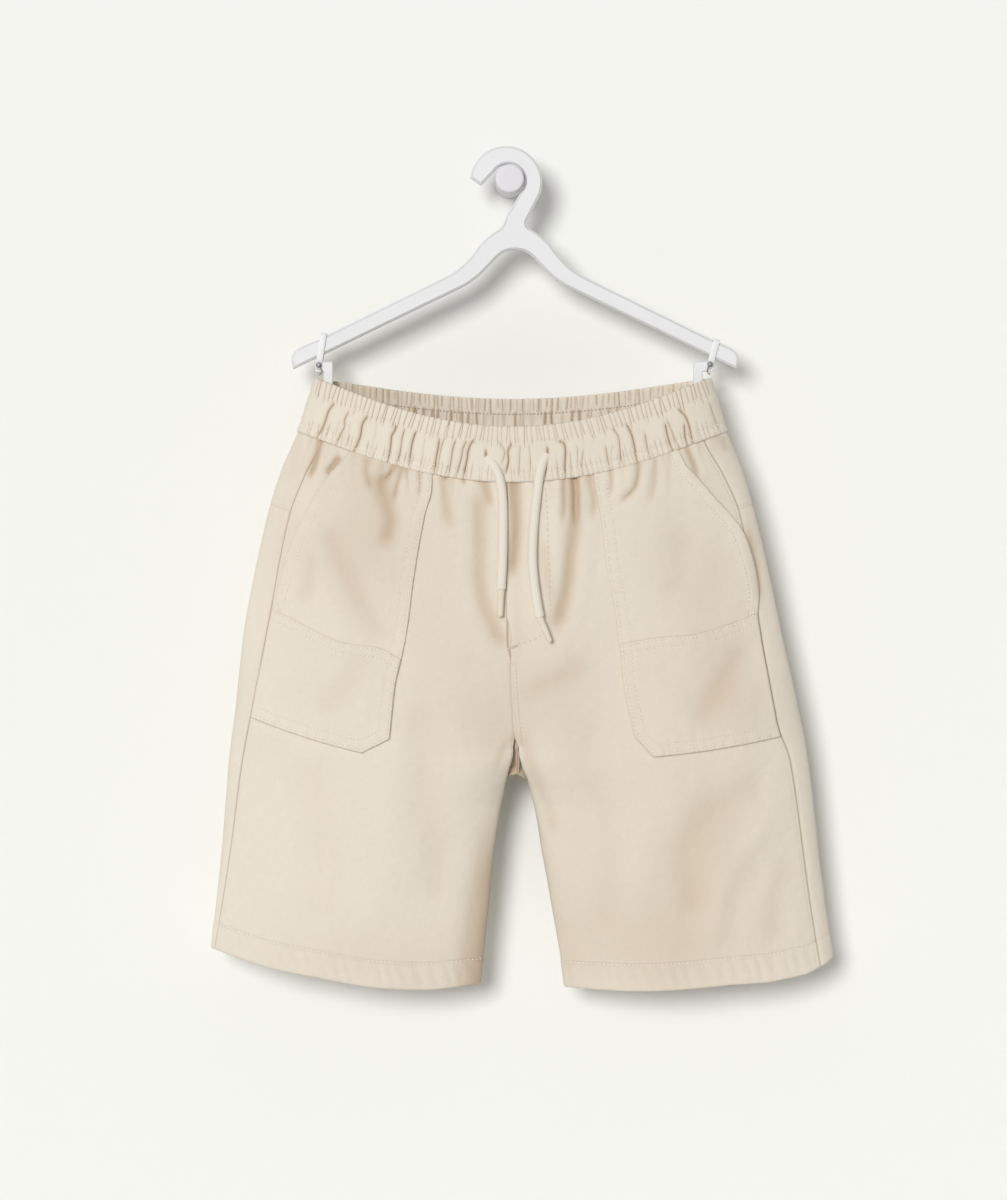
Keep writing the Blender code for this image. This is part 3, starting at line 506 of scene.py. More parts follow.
# %% The creases of the front
FRONT_FOLDS = (
    # drag lines from the band to the fork, on both sides of the fly
    Fold(((-21.6, 76), (-20.5, 100), (-20, 121), (-20.3, 141), (-16.5, 159), (-9.5, 176), (-1.5, 190)),
         8.5, -1.7),
    Fold(((45, 68), (45.6, 84), (45.4, 101), (42.7, 121), (40.7, 141), (36.6, 160), (31, 178)),
         8.0, -2.2, "start"),
    Fold(((45.0, 68), (45.8, 83), (45.8, 103)), 3.2, -1.7, "start"),
    Fold(((-11.8, 82), (-11.4, 106), (-12.2, 132)), 6.0, 0.9),
    Fold(((3.2, 74), (4.2, 90), (4.4, 106), (3.0, 124), (0.6, 142)), 7.0, -2.3, "start"),
    Fold(((23.5, 112), (26.5, 136), (29.5, 160)), 6.0, -0.7),
    Fold(((8, 223), (25.3, 213.5), (43.2, 205.2), (57, 195)), 10.0, -0.8),
    Fold(((8, 242), (14, 266), (24.5, 294), (33, 322)), 8.0, -0.7),
    Fold(((2.5, 246), (-4.6, 262), (-9.5, 280)), 5.0, -0.4),
    # under the band, right of the fly
    Fold(((-44.8, 69), (-44.8, 78), (-43.5, 92), (-40, 108)), 6.0, -1.0, "start"),
    Fold(((-43.2, 67), (-45.5, 72)), 2.2, -0.8, "start"),
    Fold(((-33, 69), (-31, 74.5)), 2.2, -0.9, "start"),
    Fold(((-21.5, 70), (-15.7, 80), (-13, 92)), 5.0, -0.9, "start"),
    # under the band, left of the fly
    Fold(((37, 72), (37.7, 89), (36.3, 102)), 3.4, -0.9, "start"),
    Fold(((55.7, 70), (58.5, 87), (57, 101)), 4.5, -0.9, "start"),
    # the right pocket
    Fold(((-79, 61), (-83, 67.5), (-88.6, 73)), 3.8, -1.3, "start"),
    Fold(((-88.6, 73), (-84.5, 89), (-82.4, 100.5), (-87.6, 122)), 9.5, -2.4, "start"),
    Fold(((-74.5, 62), (-78.2, 78), (-79.6, 88)), 3.4, -0.9, "start"),
    Fold(((-63, 66), (-62, 74), (-63.5, 84)), 3.0, -0.6, "start"),
    Fold(((-99, 58), (-99, 68), (-96, 80)), 4.0, -0.7, "start"),
    Fold(((-128, 99), (-121.5, 120), (-111, 141), (-100.6, 162), (-85, 187)), 13.0, -1.5),
    Fold(((-137, 116), (-139, 140), (-143, 160)), 9.0, -0.8),
    Fold(((-96, 190), (-112, 214), (-134, 236)), 13.0, -0.8),
    # the right side, outside the pocket
    Fold(((-119.6, 57), (-123.6, 62.5), (-127.5, 68)), 3.4, -1.7, "start"),
    Fold(((-131.8, 42), (-134.6, 56), (-140, 72)), 3.6, -1.5, "start"),
    # the left pocket
    Fold(((89.6, 60), (88.4, 71), (85.6, 78), (75, 88)), 4.0, -1.3, "start"),
    Fold(((101.5, 58), (101, 70), (97.5, 90)), 4.0, -0.6, "start"),
    Fold(((69.8, 64), (70.5, 74), (69, 84)), 3.6, -0.7, "start"),
    Fold(((124, 50), (129, 63), (130.5, 72)), 4.0, -1.2, "start"),
    Fold(((118, 100), (120, 128), (112, 158)), 12.0, -0.8),
    # the left side, outside the pocket
    Fold(((164.3, 100), (169.3, 116), (173.5, 140), (174.8, 158)), 5.0, -1.3),
    Fold(((149, 42), (151, 52)), 3.0, -0.8, "start"),
    # the patches and the legs
    Fold(((167, 183), (152, 205), (141, 224), (129, 246)), 14.0, -1.5),
    Fold(((182, 281), (157, 292.6), (136, 306), (122.8, 337), (132.7, 376)), 19.0, -1.9),
    Fold(((182, 309), (160.6, 336), (148.7, 355), (139.6, 398)), 12.0, 1.6),
    Fold(((-58.8, 224), (-55.4, 294), (-48.6, 368)), 19.0, -1.3),
    Fold(((-16, 310), (-21, 345), (-28, 385), (-31, 424)), 9.0, -0.5, "end"),
    Fold(((-140, 262), (-128, 318), (-132, 380)), 22.0, -1.0),
    Fold(((60, 270), (70, 320), (66, 392)), 16.0, -1.0),
    Fold(((196, 330), (186, 362), (184, 396)), 12.0, -1.0),
)


GATHER_SPOTS, GATHER_PITCH = 215, 7.0            # how far out on X they go, and their spacing, in mm
GATHER_HEIGHT, GATHER_SHADED = 0.60 * MM, 1.4 * MM       # a usual depth, and the depth of full shade
# Least and greatest: half-width in mm, length and depth over the usual ones, lean as a slope
GATHERS_FROM, GATHERS_TO = (1.3, 0.3, 0.4, -0.25), (2.8, 1.2, 1.4, 0.25)


def gathers(x, below, seed, reach):
    """Small upright puckers below a gathered seam: their height in metres, and their shade.

    Each pucker is a bell across and dies away downwards; places, lengths and depths are scattered.
    """
    rng = np.random.default_rng(seed)
    total = np.zeros(np.shape(x))
    spots = np.arange(-GATHER_SPOTS, GATHER_SPOTS, GATHER_PITCH)
    for spot in spots + rng.uniform(-0.45, 0.45, len(spots)) * GATHER_PITCH:
        wide, long, deep, lean = rng.uniform(GATHERS_FROM, GATHERS_TO)
        fade = np.exp(-np.clip(below, 0, None) / (0.5 * long * reach * MM))
        total -= deep * GATHER_HEIGHT * fade * np.exp(-((x - spot * MM - lean * below) / (wide * MM)) ** 2)
    return total, -total / GATHER_SHADED


PUCKER_REACH, PUCKER_PITCH, PUCKER_HEIGHT = 18 * MM, 9.5 * MM, 0.32 * MM


def hem_puckers(x, drop, lean, seed):
    """Slanting ripples inside the turned-up hem, which its stitches pull askew."""
    share = np.clip((drop - (HEM_DROP - PUCKER_REACH)) / PUCKER_REACH, 0, 1)
    slanted = (x + lean * (HEM_DROP - drop)) / PUCKER_PITCH
    wave = np.sin(2 * math.pi * slanted + 1.6 * ripples(x, x, 40 * MM, seed))
    return PUCKER_HEIGHT * wave * np.sin(math.pi * share) ** 0.7


# Broad soft painted shade in the base colour, where the cloth leans from the lamp over a hand's
# breadth, too gently to draw as creases: (x, down) of the middle, half-width and half-height in mm, amount
SHADE_TONES = (
    (122, 300, 48, 95, 0.20), (100, 402, 95, 38, 0.26), (-70, 408, 110, 30, 0.16), (-8, 250, 26, 22, 0.22),
    (45, 300, 18, 100, 0.20), (102, 120, 30, 50, 0.10), (155, 225, 20, 22, 0.24), (146, 325, 22, 40, 0.20),
    (-103, 85, 20, 42, 0.20), (-160, 112, 14, 42, 0.14), (143, 150, 20, 42, 0.20), (0, 215, 60, 42, 0.30),
    (-45, 130, 22, 60, 0.16), (-100, 120, 34, 46, 0.26), (135, 200, 34, 38, 0.18), (112, 372, 50, 60, 0.16),
    (-128, 60, 60, 18, 0.14),
)


def tones(x, down):
    """The sum of the broad tones of painted shade: bells exp(-(off / half)^2) across and down."""
    total = np.zeros(np.shape(x))
    for middle, level, wide, tall, amount in SHADE_TONES:
        total += amount * np.exp(-((x / MM - middle) / wide) ** 2 - ((down / MM - level) / tall) ** 2)
    return total


# The uneven swell of washed cloth: height and wavelength in mm, seed, and stretch downwards
FRONT_SWELL = ((0.50, 70, 5, 1.5), (0.26, 30, 6, 1.3), (0.08, 13, 7, 1.0))
BACK_SWELL = ((0.6, 75, 15, 1.5), (0.25, 28, 16, 1.0))


def swelling(waves, x, down, below):
    """The sum of some ripples, and how free of the band the cloth is: 0 at the seam, 1 below it."""
    free = smooth_step(below, -1 * MM, 9 * MM)
    return sum(height * ripples(x, down, size * MM, seed, stretch=stretch)
               for height, size, seed, stretch in waves) * MM * free, free


def front_relief(x, down, drop):
    """How far the front's cloth lies towards the viewer, and the shade of its creases and tones."""
    height, shade = fold_relief(FRONT_FOLDS, x, down)
    small, small_shade = gathers(x, drop - BAND_DROP, seed=11, reach=22)
    swell, free = swelling(FRONT_SWELL, x, down, drop - BAND_DROP)
    total = np.minimum(height, 0) + np.maximum(height, 0) * free + small + swell
    return total + hem_puckers(x, drop, 0.35, 8), shade + small_shade + tones(x, down)


BACK_FOLDS = (
    Fold(((-18, 80), (-26, 120), (-30, 170), (-12, 236)), 12, -2.2),
    Fold(((20, 80), (30, 124), (33, 172), (18, 236)), 12, -2.2),
    Fold(((-62, 60), (-66, 110), (-60, 160)), 9, -1.2, "start"),
    Fold(((66, 60), (70, 112), (66, 158)), 9, -1.2, "start"),
    Fold(((-112, 60), (-120, 100), (-118, 140)), 9, -1.0, "start"),
    Fold(((118, 60), (124, 100), (122, 146)), 9, -1.0, "start"),
    Fold(((-150, 210), (-100, 226), (-50, 236), (-10, 243)), 14, -1.6),
    Fold(((160, 210), (110, 226), (60, 236), (14, 243)), 14, -1.6),
    Fold(((-130, 270), (-112, 330), (-112, 396)), 20, -2.2),
    Fold(((140, 280), (124, 336), (120, 396)), 20, -2.2),
    Fold(((-50, 262), (-58, 320), (-54, 396)), 16, -1.4),
    Fold(((62, 262), (72, 322), (70, 396)), 16, -1.4),
)


def back_relief(x, down, drop):
    """The same for the back, in metres away from the wearer."""
    height, shade = fold_relief(BACK_FOLDS, x, down)
    small, small_shade = gathers(x, drop - BAND_DROP, seed=23, reach=30)
    swell, _ = swelling(BACK_SWELL, x, down, drop - BAND_DROP)
    return height + small + swell + hem_puckers(x, drop, -0.35, 9), shade + small_shade


def bridged(drop, turn):
    """How far forward of the ovals the crotch's seam holds the cloth, in metres.

    On the front it is BRIDGE_SHARE of the hollow, depth (1 - sin turn). On the back the cloth is flat out
    to where sin turn is FLAT_DEPTH, and follows the front's inner edge a little behind it.
    """
    rise = np.abs(np.sin(turn))
    inner = np.cos(turn) > 0
    over = smooth_step(drop / MM, *BRIDGE_IN) * (1 - smooth_step(drop / MM, *BRIDGE_OUT))
    flat = smooth_step(drop / MM, *FLAT_IN) * (1 - smooth_step(drop / MM, *FLAT_OUT))
    edge = BRIDGE_SHARE * level_value("depth_front", drop) * over
    from_edge = oval(drop)[0] * (1 - np.cos(turn))
    near, depth = np.exp(-(from_edge / FLAT_REACH) ** 2), level_value("depth_back", drop)
    back = flat * ((edge - BEHIND_FRONT) * near - depth * np.clip(FLAT_DEPTH - rise, 0.0, 1.0)
                   + FLAT_DEPTH * depth * near)
    return np.where(np.sin(turn) >= 0, edge * (1 - rise) * inner, back * inner)


def cloth_point(side, drop, turn):
    """The creased cloth's x, y, z, and its shade: the smooth point, moved along Y by its face's relief."""
    x, y, down = bare_point(side, drop, turn)
    y = y - bridged(drop, turn)
    on_front = np.clip(3 * np.sin(turn), 0, 1)
    on_back = np.clip(-3 * np.sin(turn), 0, 1)
    front, front_shade = front_relief(x, down, drop)
    back, back_shade = back_relief(x, down, drop)
    y = y - on_front * front + on_back * back
    points = np.stack(np.broadcast_arrays(x, y, WAIST_CORNER_Z - down), axis=-1)
    return points, np.clip(on_front * front_shade + on_back * back_shade, 0.0, 1.0)


print("creases on the front and the back:", len(FRONT_FOLDS), len(BACK_FOLDS))

# %% [markdown]
# ## From a grid of points to a closed piece of cloth
#
# A sheet of cloth is a grid: one direction across, one down. Each point gets a normal from its
# neighbours. The outer face lies along the normal by half the thickness, the inner face lies the other
# way, and a rounded rim joins them, so the piece is one closed skin as a sewn panel is.

# %% Sheets


def grid_normals(grid, ring=False):
    """Unit normals of a grid: the cross product of its slopes down and across."""
    if ring:
        wide = np.concatenate([grid[:, -1:], grid, grid[:, :1]], axis=1)
        across = wide[:, 2:] - wide[:, :-2]
    else:
        across = np.gradient(grid, axis=1)
    return unit(np.cross(np.gradient(grid, axis=0), across))


def quads_of(numbers, ring=False):
    """Quads over a grid of vertex numbers."""
    if ring:
        numbers = np.concatenate([numbers, numbers[:, :1]], axis=1)
    return np.stack([numbers[:-1, :-1], numbers[1:, :-1], numbers[1:, 1:], numbers[:-1, 1:]],
                    axis=-1).reshape(-1, 4)


def make_object(name, points, faces, material, fields=None, smooth=True):
    """A mesh object from arrays, with any named vertex fields, each a row of one or three numbers."""
    mesh = bpy.data.meshes.new(name)
    mesh.from_pydata(points.tolist(), [], faces if isinstance(faces, list) else faces.tolist())
    for field, values in (fields or {}).items():
        kind, key = ("FLOAT", "value") if values.ndim == 1 else ("FLOAT_VECTOR", "vector")
        mesh.attributes.new(field, kind, "POINT").data.foreach_set(key, np.ravel(values).astype(np.float32))
    mesh.materials.append(material)
    mesh.polygons.foreach_set("use_smooth", np.full(len(mesh.polygons), smooth))
    mesh.update()
    thing = bpy.data.objects.new(name, mesh)
    bpy.context.scene.collection.objects.link(thing)
    return thing


RIM_BULGE = 0.8               # how far the rim's middle stands out, over half the thickness


def make_sheet(name, grid, outwards, material, fields, outer, inner, ring=False):
    """A closed piece of cloth round a grid of points.

    outwards is 1 where the grid's normals already point away from the wearer and -1 where they point in.
    outer and inner say how far each face stands from the grid. The rim bulges by RIM_BULGE of their mean.
    """
    rows, columns = grid.shape[:2]
    normal = outwards * grid_normals(grid, ring)
    outer = np.broadcast_to(outer, (rows, columns))
    inner = np.broadcast_to(inner, (rows, columns))
    faces_out = grid + normal * outer[..., None]
    faces_in = grid - normal * inner[..., None]
    number = np.arange(rows * columns).reshape(rows, columns)
    edges = [(number[0], grid[0] - grid[1]), (number[-1], grid[-1] - grid[-2])]
    if ring:
        loops = [np.append(numbers, numbers[0]) for numbers, _ in edges]
        rim_ids, rim_away = [numbers for numbers, _ in edges], [away for _, away in edges]
        turned = [False, True]
    else:
        down_left = grid[:, 0] - grid[:, 1]
        down_right = grid[:, -1] - grid[:, -2]
        ids = np.concatenate([number[0, :-1], number[:-1, -1], number[-1, :0:-1], number[:0:-1, 0]])
        away = np.concatenate([edges[0][1][:-1], down_right[:-1], edges[1][1][:0:-1], down_left[:0:-1]])
        corner = np.array([0, columns - 1, columns + rows - 2, 2 * columns + rows - 3])
        away[corner] += np.stack([down_left[0], edges[0][1][-1], down_right[-1], edges[1][1][0]])
        rim_ids, rim_away, turned = [ids], [away], [False]
        loops = [np.append(ids, ids[0])]
    count = rows * columns
    points = [faces_out.reshape(-1, 3), faces_in.reshape(-1, 3)]
    quads = [quads_of(number, ring), quads_of(number, ring)[:, ::-1] + count]
    if outwards < 0:
        quads = [part[:, ::-1] for part in quads]
    source = [np.arange(count), np.arange(count)]
    base = 2 * count
    for ids, away, loop, turn in zip(rim_ids, rim_away, loops, turned):
        half = ((outer + inner) / 2).reshape(-1)[ids]
        middle = (points[0][ids] + points[1][ids]) / 2
        points.append(middle + unit(away) * half[:, None] * RIM_BULGE)
        source.append(ids)
        bulge = np.append(np.arange(len(ids)), 0) + base
        lower = loop + count
        strip = np.concatenate([np.stack([loop[:-1], loop[1:], bulge[1:], bulge[:-1]], axis=1),
                                np.stack([bulge[:-1], bulge[1:], lower[1:], lower[:-1]], axis=1)])
        quads.append(strip[:, ::-1] if (outwards < 0) != turn else strip)
        base += len(ids)
    points, source = np.concatenate(points), np.concatenate(source)
    spread = {field: values.reshape(count, *values.shape[2:])[source] for field, values in fields.items()}
    return make_object(name, points, np.concatenate(quads), material, spread)


def lengths_across(grid):
    """Distance along each row of a grid from its first column."""
    step = np.linalg.norm(np.diff(grid, axis=1), axis=-1)
    return np.concatenate([np.zeros((len(grid), 1)), np.cumsum(step, axis=1)], axis=1)


def sewn(piece, slot, *nodes):
    """The lines that every piece needs: what it rides on and the solids it stands for; slot is not used."""
    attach(piece, "root")
    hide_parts(*nodes)
    print(f"{piece.name}: {len(piece.data.vertices)} points")
    return piece


# %% [markdown]
# ## Cotton twill
#
# The cloth is a washed twill: fine slanting ribs, a soft nap that scatters light at grazing angles, and
# a colour that drifts a little from place to place. It follows the cloth, so it reads each piece's own
# field "weave", which holds the place on the flat cloth in metres. Another field, "seams", holds
# distances from the piece's sewn edges, so that a needle's row can press a groove into it.
#
# Two more fields paint shade into the base colour, so they stay whatever lamp is used. "deep" says how
# far a spot lies down in a crease, where the light that bounces between two cream walls comes out
# warmer, and it also carries the broad tones. "contact" is the distance from the nearest edge that lies
# on top of the piece, where a thin brown line is drawn.

# %% The cloth's finish
CREAM = (0.790, 0.715, 0.607)
# painted shade colours: warm for hollows and creases, brown for lines beside overlapping edges and in needle
# holes
SHADE_WARM = (0.52, 0.385, 0.255)
SHADE_BROWN = (0.36, 0.25, 0.155)
SHADE_LINE_WIDTH = 0.75 * MM     # of the line of painted shade beside an overlapping edge
FAR = 0.03                    # a distance that no bell reaches
RIB_PITCH = 0.75              # mm between the twill's ribs
RIB_SLANT = 0.82, 0.57        # across and down the cloth
RIB_HEIGHT, FIBRE_HEIGHT, WASH_HEIGHT = 0.018, 0.07, 0.30     # mm

# A needle's row. field: which of the three distances it follows. at: the distance, in mm.
# width, depth: of the groove that it presses, in mm.
Row = namedtuple("Row", "field at width depth", defaults=(0.8, 0.30))


def twill(name, colour, rows=()):
    """Cotton twill with grooves along its needle rows.

    Height in mm: ribs = sin(slanted distance / pitch), plus noise for fibres and for washed unevenness,
    minus a bell for each needle row. Colour: cream, mixed a little by noise, then painted shade: towards
    warm by the field "deep", and towards a darker brown by a bell of the signed distance from an
    overlapping edge.
    """
    nap = {"Sheen Weight": 0.10, "Sheen Roughness": 0.5, "Specular IOR Level": 0.25}
    material, shader, start = new_finish(name, 0.92, nap)
    weave = start.field("weave", "Vector")
    seams = start.field("seams", "Vector")
    deep = start.field("deep")
    contact = start.field("contact")
    wander = weave.noise(90.0, 2.0)
    slanted = (weave.part("X") * RIB_SLANT[0] + weave.part("Y") * RIB_SLANT[1]) / (RIB_PITCH * MM)
    ribs = ((slanted + wander * 1.5) * (2 * math.pi)).sine()
    fibres = weave.noise(1500.0, 3.0, 0.6)
    washed = weave.noise(190.0, 3.0, 0.55)
    height = ribs * RIB_HEIGHT + fibres * FIBRE_HEIGHT + washed * WASH_HEIGHT
    for row in rows:
        height = height - seams.part(row.field).bell(row.at * MM, row.width * MM) * row.depth
    connect(shader, "Normal", bumped(height, start))
    drift = weave.noise(11.0, 3.0) * 0.55 + weave.noise(240.0, 2.0) * 0.25 + fibres * 0.20
    lighter = tuple(min(1.0, channel * 1.03) for channel in colour)
    darker = tuple(channel * 0.965 for channel in colour)
    body = mixed(((drift - 0.36) * 3.4).clipped(), darker, lighter)
    # painted shade: towards warm by "deep", then towards brown beside an overlapping edge by "contact"
    creased = mixed((deep * 0.80).clipped(), body, SHADE_WARM)
    connect(shader, "Base Color", mixed(contact.bell(0.0, SHADE_LINE_WIDTH) * 0.72, creased, SHADE_BROWN))
    return material


print("cream, linear:", CREAM)

# %% [markdown]
# ## Where the pockets lie
#
# The front needs to know where its pockets are, because a thin line of shade follows their edges. Each
# pocket is laid out on the flat front by its four drawn edges.

# %% Pocket layout
# All (outwards, down) in mm. mouth: the slanted opening. bottom_side: where the lower edge starts beside
# the side seam. corner, chamfer: the lower edge's cut corner. inner: the inner edge. patch_side,
# patch_top: the second layer's upper edge.
Pocket = namedtuple("Pocket", "mouth bottom_side corner chamfer inner patch_side patch_top")
POCKETS = {
    "right": Pocket(mouth=((110.8, 52.6), (128, 70.5), (142, 94), (153.5, 119), (164.5, 155)),
                    bottom_side=236.5, corner=(108, 260.8), chamfer=(88.5, 251),
                    inner=((55.9, 67.5), (56.5, 82), (61, 97), (67.3, 134), (73, 175), (77.3, 196),
                           (82.8, 217)),
                    patch_side=161, patch_top=((150.5, 168.3), (121, 183), (92, 188), (77.2, 195.5))),
    "left": Pocket(mouth=((113.3, 54.6), (129.5, 71.5), (139.6, 83), (156.5, 102), (165, 121), (171, 147)),
                   bottom_side=249.8, corner=(94.5, 263.6), chamfer=(81.8, 249),
                   inner=((56, 68.6), (59.7, 85), (64, 109.5), (66.7, 134), (70, 149), (75, 185), (77, 217)),
                   patch_side=164.5, patch_top=((131, 177.6), (101.5, 180.6), (75.2, 185))),
}
POCKET_FROM_SEAM = 0.6 * MM
POCKET_SAG = 1.6 * MM         # of its lower edge between the side seam and the corner


def seam_outwards(side, down):
    """How far outwards the side seam lies at a height on the front."""
    drop = np.linspace(BAND_DROP, HEM_DROP, 80)
    x, _, seam_down = bare_point(side, drop, side_seam_turn(side, drop))
    return np.interp(down, seam_down, side * (x - level_value("centre", drop)))


def waist_seam_down(side, outwards):
    """Height of the waist seam on the front, as a distance below the band's corner."""
    width, middle, _ = oval(np.full(np.shape(outwards), BAND_DROP))
    turn = np.arccos(np.clip((middle - outwards) / width, -1.0, 1.0))
    return bare_point(side, np.full_like(outwards, BAND_DROP), turn)[2]


def pocket_outer_edge(side, pocket, t):
    """The opening's slanted edge down to the side seam, then the line beside the seam."""
    mouth = np.array(pocket.mouth) * MM
    low = np.linspace(mouth[-1, 1], pocket.bottom_side * MM, 12)[2:]
    beside = np.stack([seam_outwards(side, low) - POCKET_FROM_SEAM, low], axis=1)
    mouth = mouth[:-1] if mouth[-1, 1] + 8 * MM > low[0] else mouth
    return smooth_line(np.concatenate([mouth, beside]), t)


def four_sided(top, bottom, outer, inner, u, v):
    """A Coons patch: u from the outer to the inner edge, v from the top to the bottom.

    top (1 - v) + bottom v + outer (1 - u) + inner u, less the blend of the four corners.
    """
    u, v = u[None, :, None], v[:, None, None]
    corners = ((1 - u) * (1 - v) * top[0] + u * (1 - v) * top[-1]
               + (1 - u) * v * bottom[0] + u * v * bottom[-1])
    return ((1 - v) * top[None] + v * bottom[None] + (1 - u) * outer[:, None] + u * inner[:, None]
            - corners)


def pocket_plan(side, pocket, u, v):
    """A pocket's layout on the flat front, as (outwards, down) pairs, from its four drawn edges."""
    fine = np.linspace(0, 1, 400)
    outer = by_length(pocket_outer_edge(side, pocket, fine), v)
    inner_points = np.array([*pocket.inner, pocket.chamfer]) * MM
    inner = by_length(smooth_line(inner_points, fine), v)
    first, last = pocket.mouth[0][0] * MM, pocket.inner[0][0] * MM
    top_out = first + (last - first) * u
    top = np.stack([top_out, waist_seam_down(side, top_out) - 1.2 * MM], axis=1)
    outer[:, 1] += (top[0, 1] - outer[0, 1]) * (1 - smooth_step(v, 0, 0.06))
    inner[:, 1] += (top[-1, 1] - inner[0, 1]) * (1 - smooth_step(v, 0, 0.06))
    low = np.array([outer[-1], np.array(pocket.corner) * MM, inner_points[-1]])
    knots = lengths_along(low)
    bottom = by_length(low, u)
    bottom[:, 1] += np.sin(math.pi * np.clip(u * knots[-1] / knots[1], 0, 1)) * POCKET_SAG
    return four_sided(top, bottom, outer, inner, u, v)


POCKET_ACROSS, POCKET_DOWN = np.linspace(0, 1, 84), np.linspace(0, 1, 136)
plans = {side_name: pocket_plan(side, POCKETS[side_name], POCKET_ACROSS, POCKET_DOWN)
         for side_name, side in SIDES.items()}
widths = [round(float(np.ptp(plan[-1, :, 0])) / MM) for plan in plans.values()]
print("pocket widths at the bottom, mm:", widths)

# %% [markdown]
# ## The two fronts
#
# Each front runs from under the waistband to the hem, between the centre seam or inseam and the side
# seam. The left front laps a few millimetres over the right one down to the bar tack, which makes the
# mock fly. At the hem the cloth is turned up, so it is twice as thick below the hem's stitches.

# %% Front panels
FINE = 1.6 * MM               # spacing of the grids that show most
TUCK = 2.6 * MM               # how far one piece passes under the next at a seam
PRESSED = 0.9 * MM            # how far it is pressed down there
BURIED = 2.2 * MM             # and further, where the band hides it
LAP, LAP_LIFT, LAP_SINK = 3 * MM, 1.1 * MM, 0.5 * MM
LAP_SHADE = (100 * MM, 122 * MM)        # drops between which its edge begins to show as a line of painted shade
UNDERLAP = 6 * MM
LAP_END = (132 * MM, 150 * MM)
LAP_LIFT_END = (150 * MM, 166 * MM)
LAP_SLOPE = 9 * MM
SEAM_STEP = {"right": 0.25 * MM, "left": -0.30 * MM}    # the left front lies over the right at the seam
STEP_END, STEP_REACH = (222 * MM, 232 * MM), 4 * MM     # where that step ends, and how wide it is
EDGE_REACH = 12 * MM          # from the inner edge, over which a shift of that edge fades
HEM_HEIGHT = 17.5 * MM
HALF_CLOTH, TURNED_UP = 0.5 * MM, 0.35 * MM             # half a sheet, and what the turned-up hem adds
PANEL_COLUMNS = 132


def drops_between(start, end, spacing):
    return np.linspace(start, end, round((end - start) / spacing) + 1)


def front_panel_grid(side_name):
    """Rows from under the band to the hem, columns from the inner edge to the side seam.

    y = creased cloth, less the fly's lift near the left front's edge, plus the dips where the top edge
    goes under the band and the right front goes under the left.
    """
    side = SIDES[side_name]
    drop = drops_between(BAND_DROP - TUCK, HEM_DROP, FINE)
    lapped = 1.0 - smooth_step(drop, *LAP_END)
    width, middle, _ = oval(drop)
    reach = (LAP if side > 0 else UNDERLAP) * lapped
    start = np.arccos(np.clip((middle + reach) / width, -1.0, 1.0)) * lapped + inner_turn(drop) * (1 - lapped)
    turn = even_turns(side, drop, start, side_seam_turn(side, drop), PANEL_COLUMNS)
    drop = np.broadcast_to(drop[:, None], turn.shape)
    grid, shade = cloth_point(side, drop, turn)
    outwards = side * (grid[..., 0] - level_value("centre", drop))
    lift = (1.0 - smooth_step(drop, *LAP_LIFT_END)) * (1.0 - smooth_step(outwards, -1 * MM, LAP_SLOPE))
    lift = lift * (LAP_LIFT if side > 0 else -LAP_SINK)
    from_inner = lengths_across(grid)
    grid[..., 0] += moved_edge(side_name, drop, from_inner)
    seamed = smooth_step(drop, *LAP_LIFT_END) * (1 - smooth_step(drop, *STEP_END))
    grid[..., 1] += SEAM_STEP[side_name] * seamed * np.exp(-from_inner / STEP_REACH)
    grid[..., 1] += under_edge(drop) - lift
    return grid, drop, outwards, from_inner, shade


def moved_edge(side_name, drop, from_inner):
    """How far a sheet's points near its inner edge move on X, fading away from the edge."""
    off_edge = np.interp(drop / MM, *np.array(FORK_EDGE[side_name]).T) * MM
    return SIDES[side_name] * off_edge * np.exp(-from_inner / EDGE_REACH)


def under_edge(drop):
    """How far a top edge is pressed down so that it passes under the waistband."""
    return (PRESSED * (1 - smooth_step(drop, BAND_DROP - TUCK, BAND_DROP + 4 * MM))
            + BURIED * (1 - smooth_step(drop, BAND_DROP - 1.6 * MM, BAND_DROP + 0.2 * MM)))


def hem_thickness(drop):
    """Half the cloth's thickness, which grows in the turned-up hem."""
    return HALF_CLOTH + TURNED_UP * smooth_step(drop - (HEM_DROP - HEM_HEIGHT), 0, 1.5 * MM)


def nearest_of(*distances):
    """Of several signed distances, the one that is nearest to nothing, place by place."""
    stacked = np.stack(np.broadcast_arrays(*distances))
    return np.take_along_axis(stacked, np.abs(stacked).argmin(axis=0)[None], axis=0)[0]


def faded(distance, share):
    """A distance whose bell of shade keeps only this share: sqrt(distance^2 + width^2 ln(1 / share))."""
    return np.sqrt(distance ** 2 + SHADE_LINE_WIDTH ** 2 * np.log(1 / share))


def cloth_fields(across, drop, sheet_number, seams, shade, contact):
    """The four fields that the twill reads. sheet_number keeps two pieces' noise apart."""
    return {"weave": np.stack([across, drop, np.full(drop.shape, 0.4 * sheet_number)], axis=-1),
            "seams": np.stack(np.broadcast_arrays(*seams), axis=-1), "deep": shade,
            "contact": np.broadcast_to(contact, drop.shape)}


def declare_sheet(grid, ring=False):
    """Joins a ring's first column on after its last, and does nothing more with the grid."""
    if ring:
        grid = np.concatenate([grid, grid[:, :1]], axis=1)


def lay_cloth(piece, slot, node, grid, ring=False):
    """Finish a sheet: it rides on the body and stands for its solid."""
    sewn(piece, slot, node)
    declare_sheet(grid, ring)
    return piece


# How dark the line of painted shade beside a pocket is: along its opening, its lower edge and its inner edge
EDGE_SHADE = {"right": (0.30, 0.75, 0.9), "left": (0.65, 0.7, 0.20)}
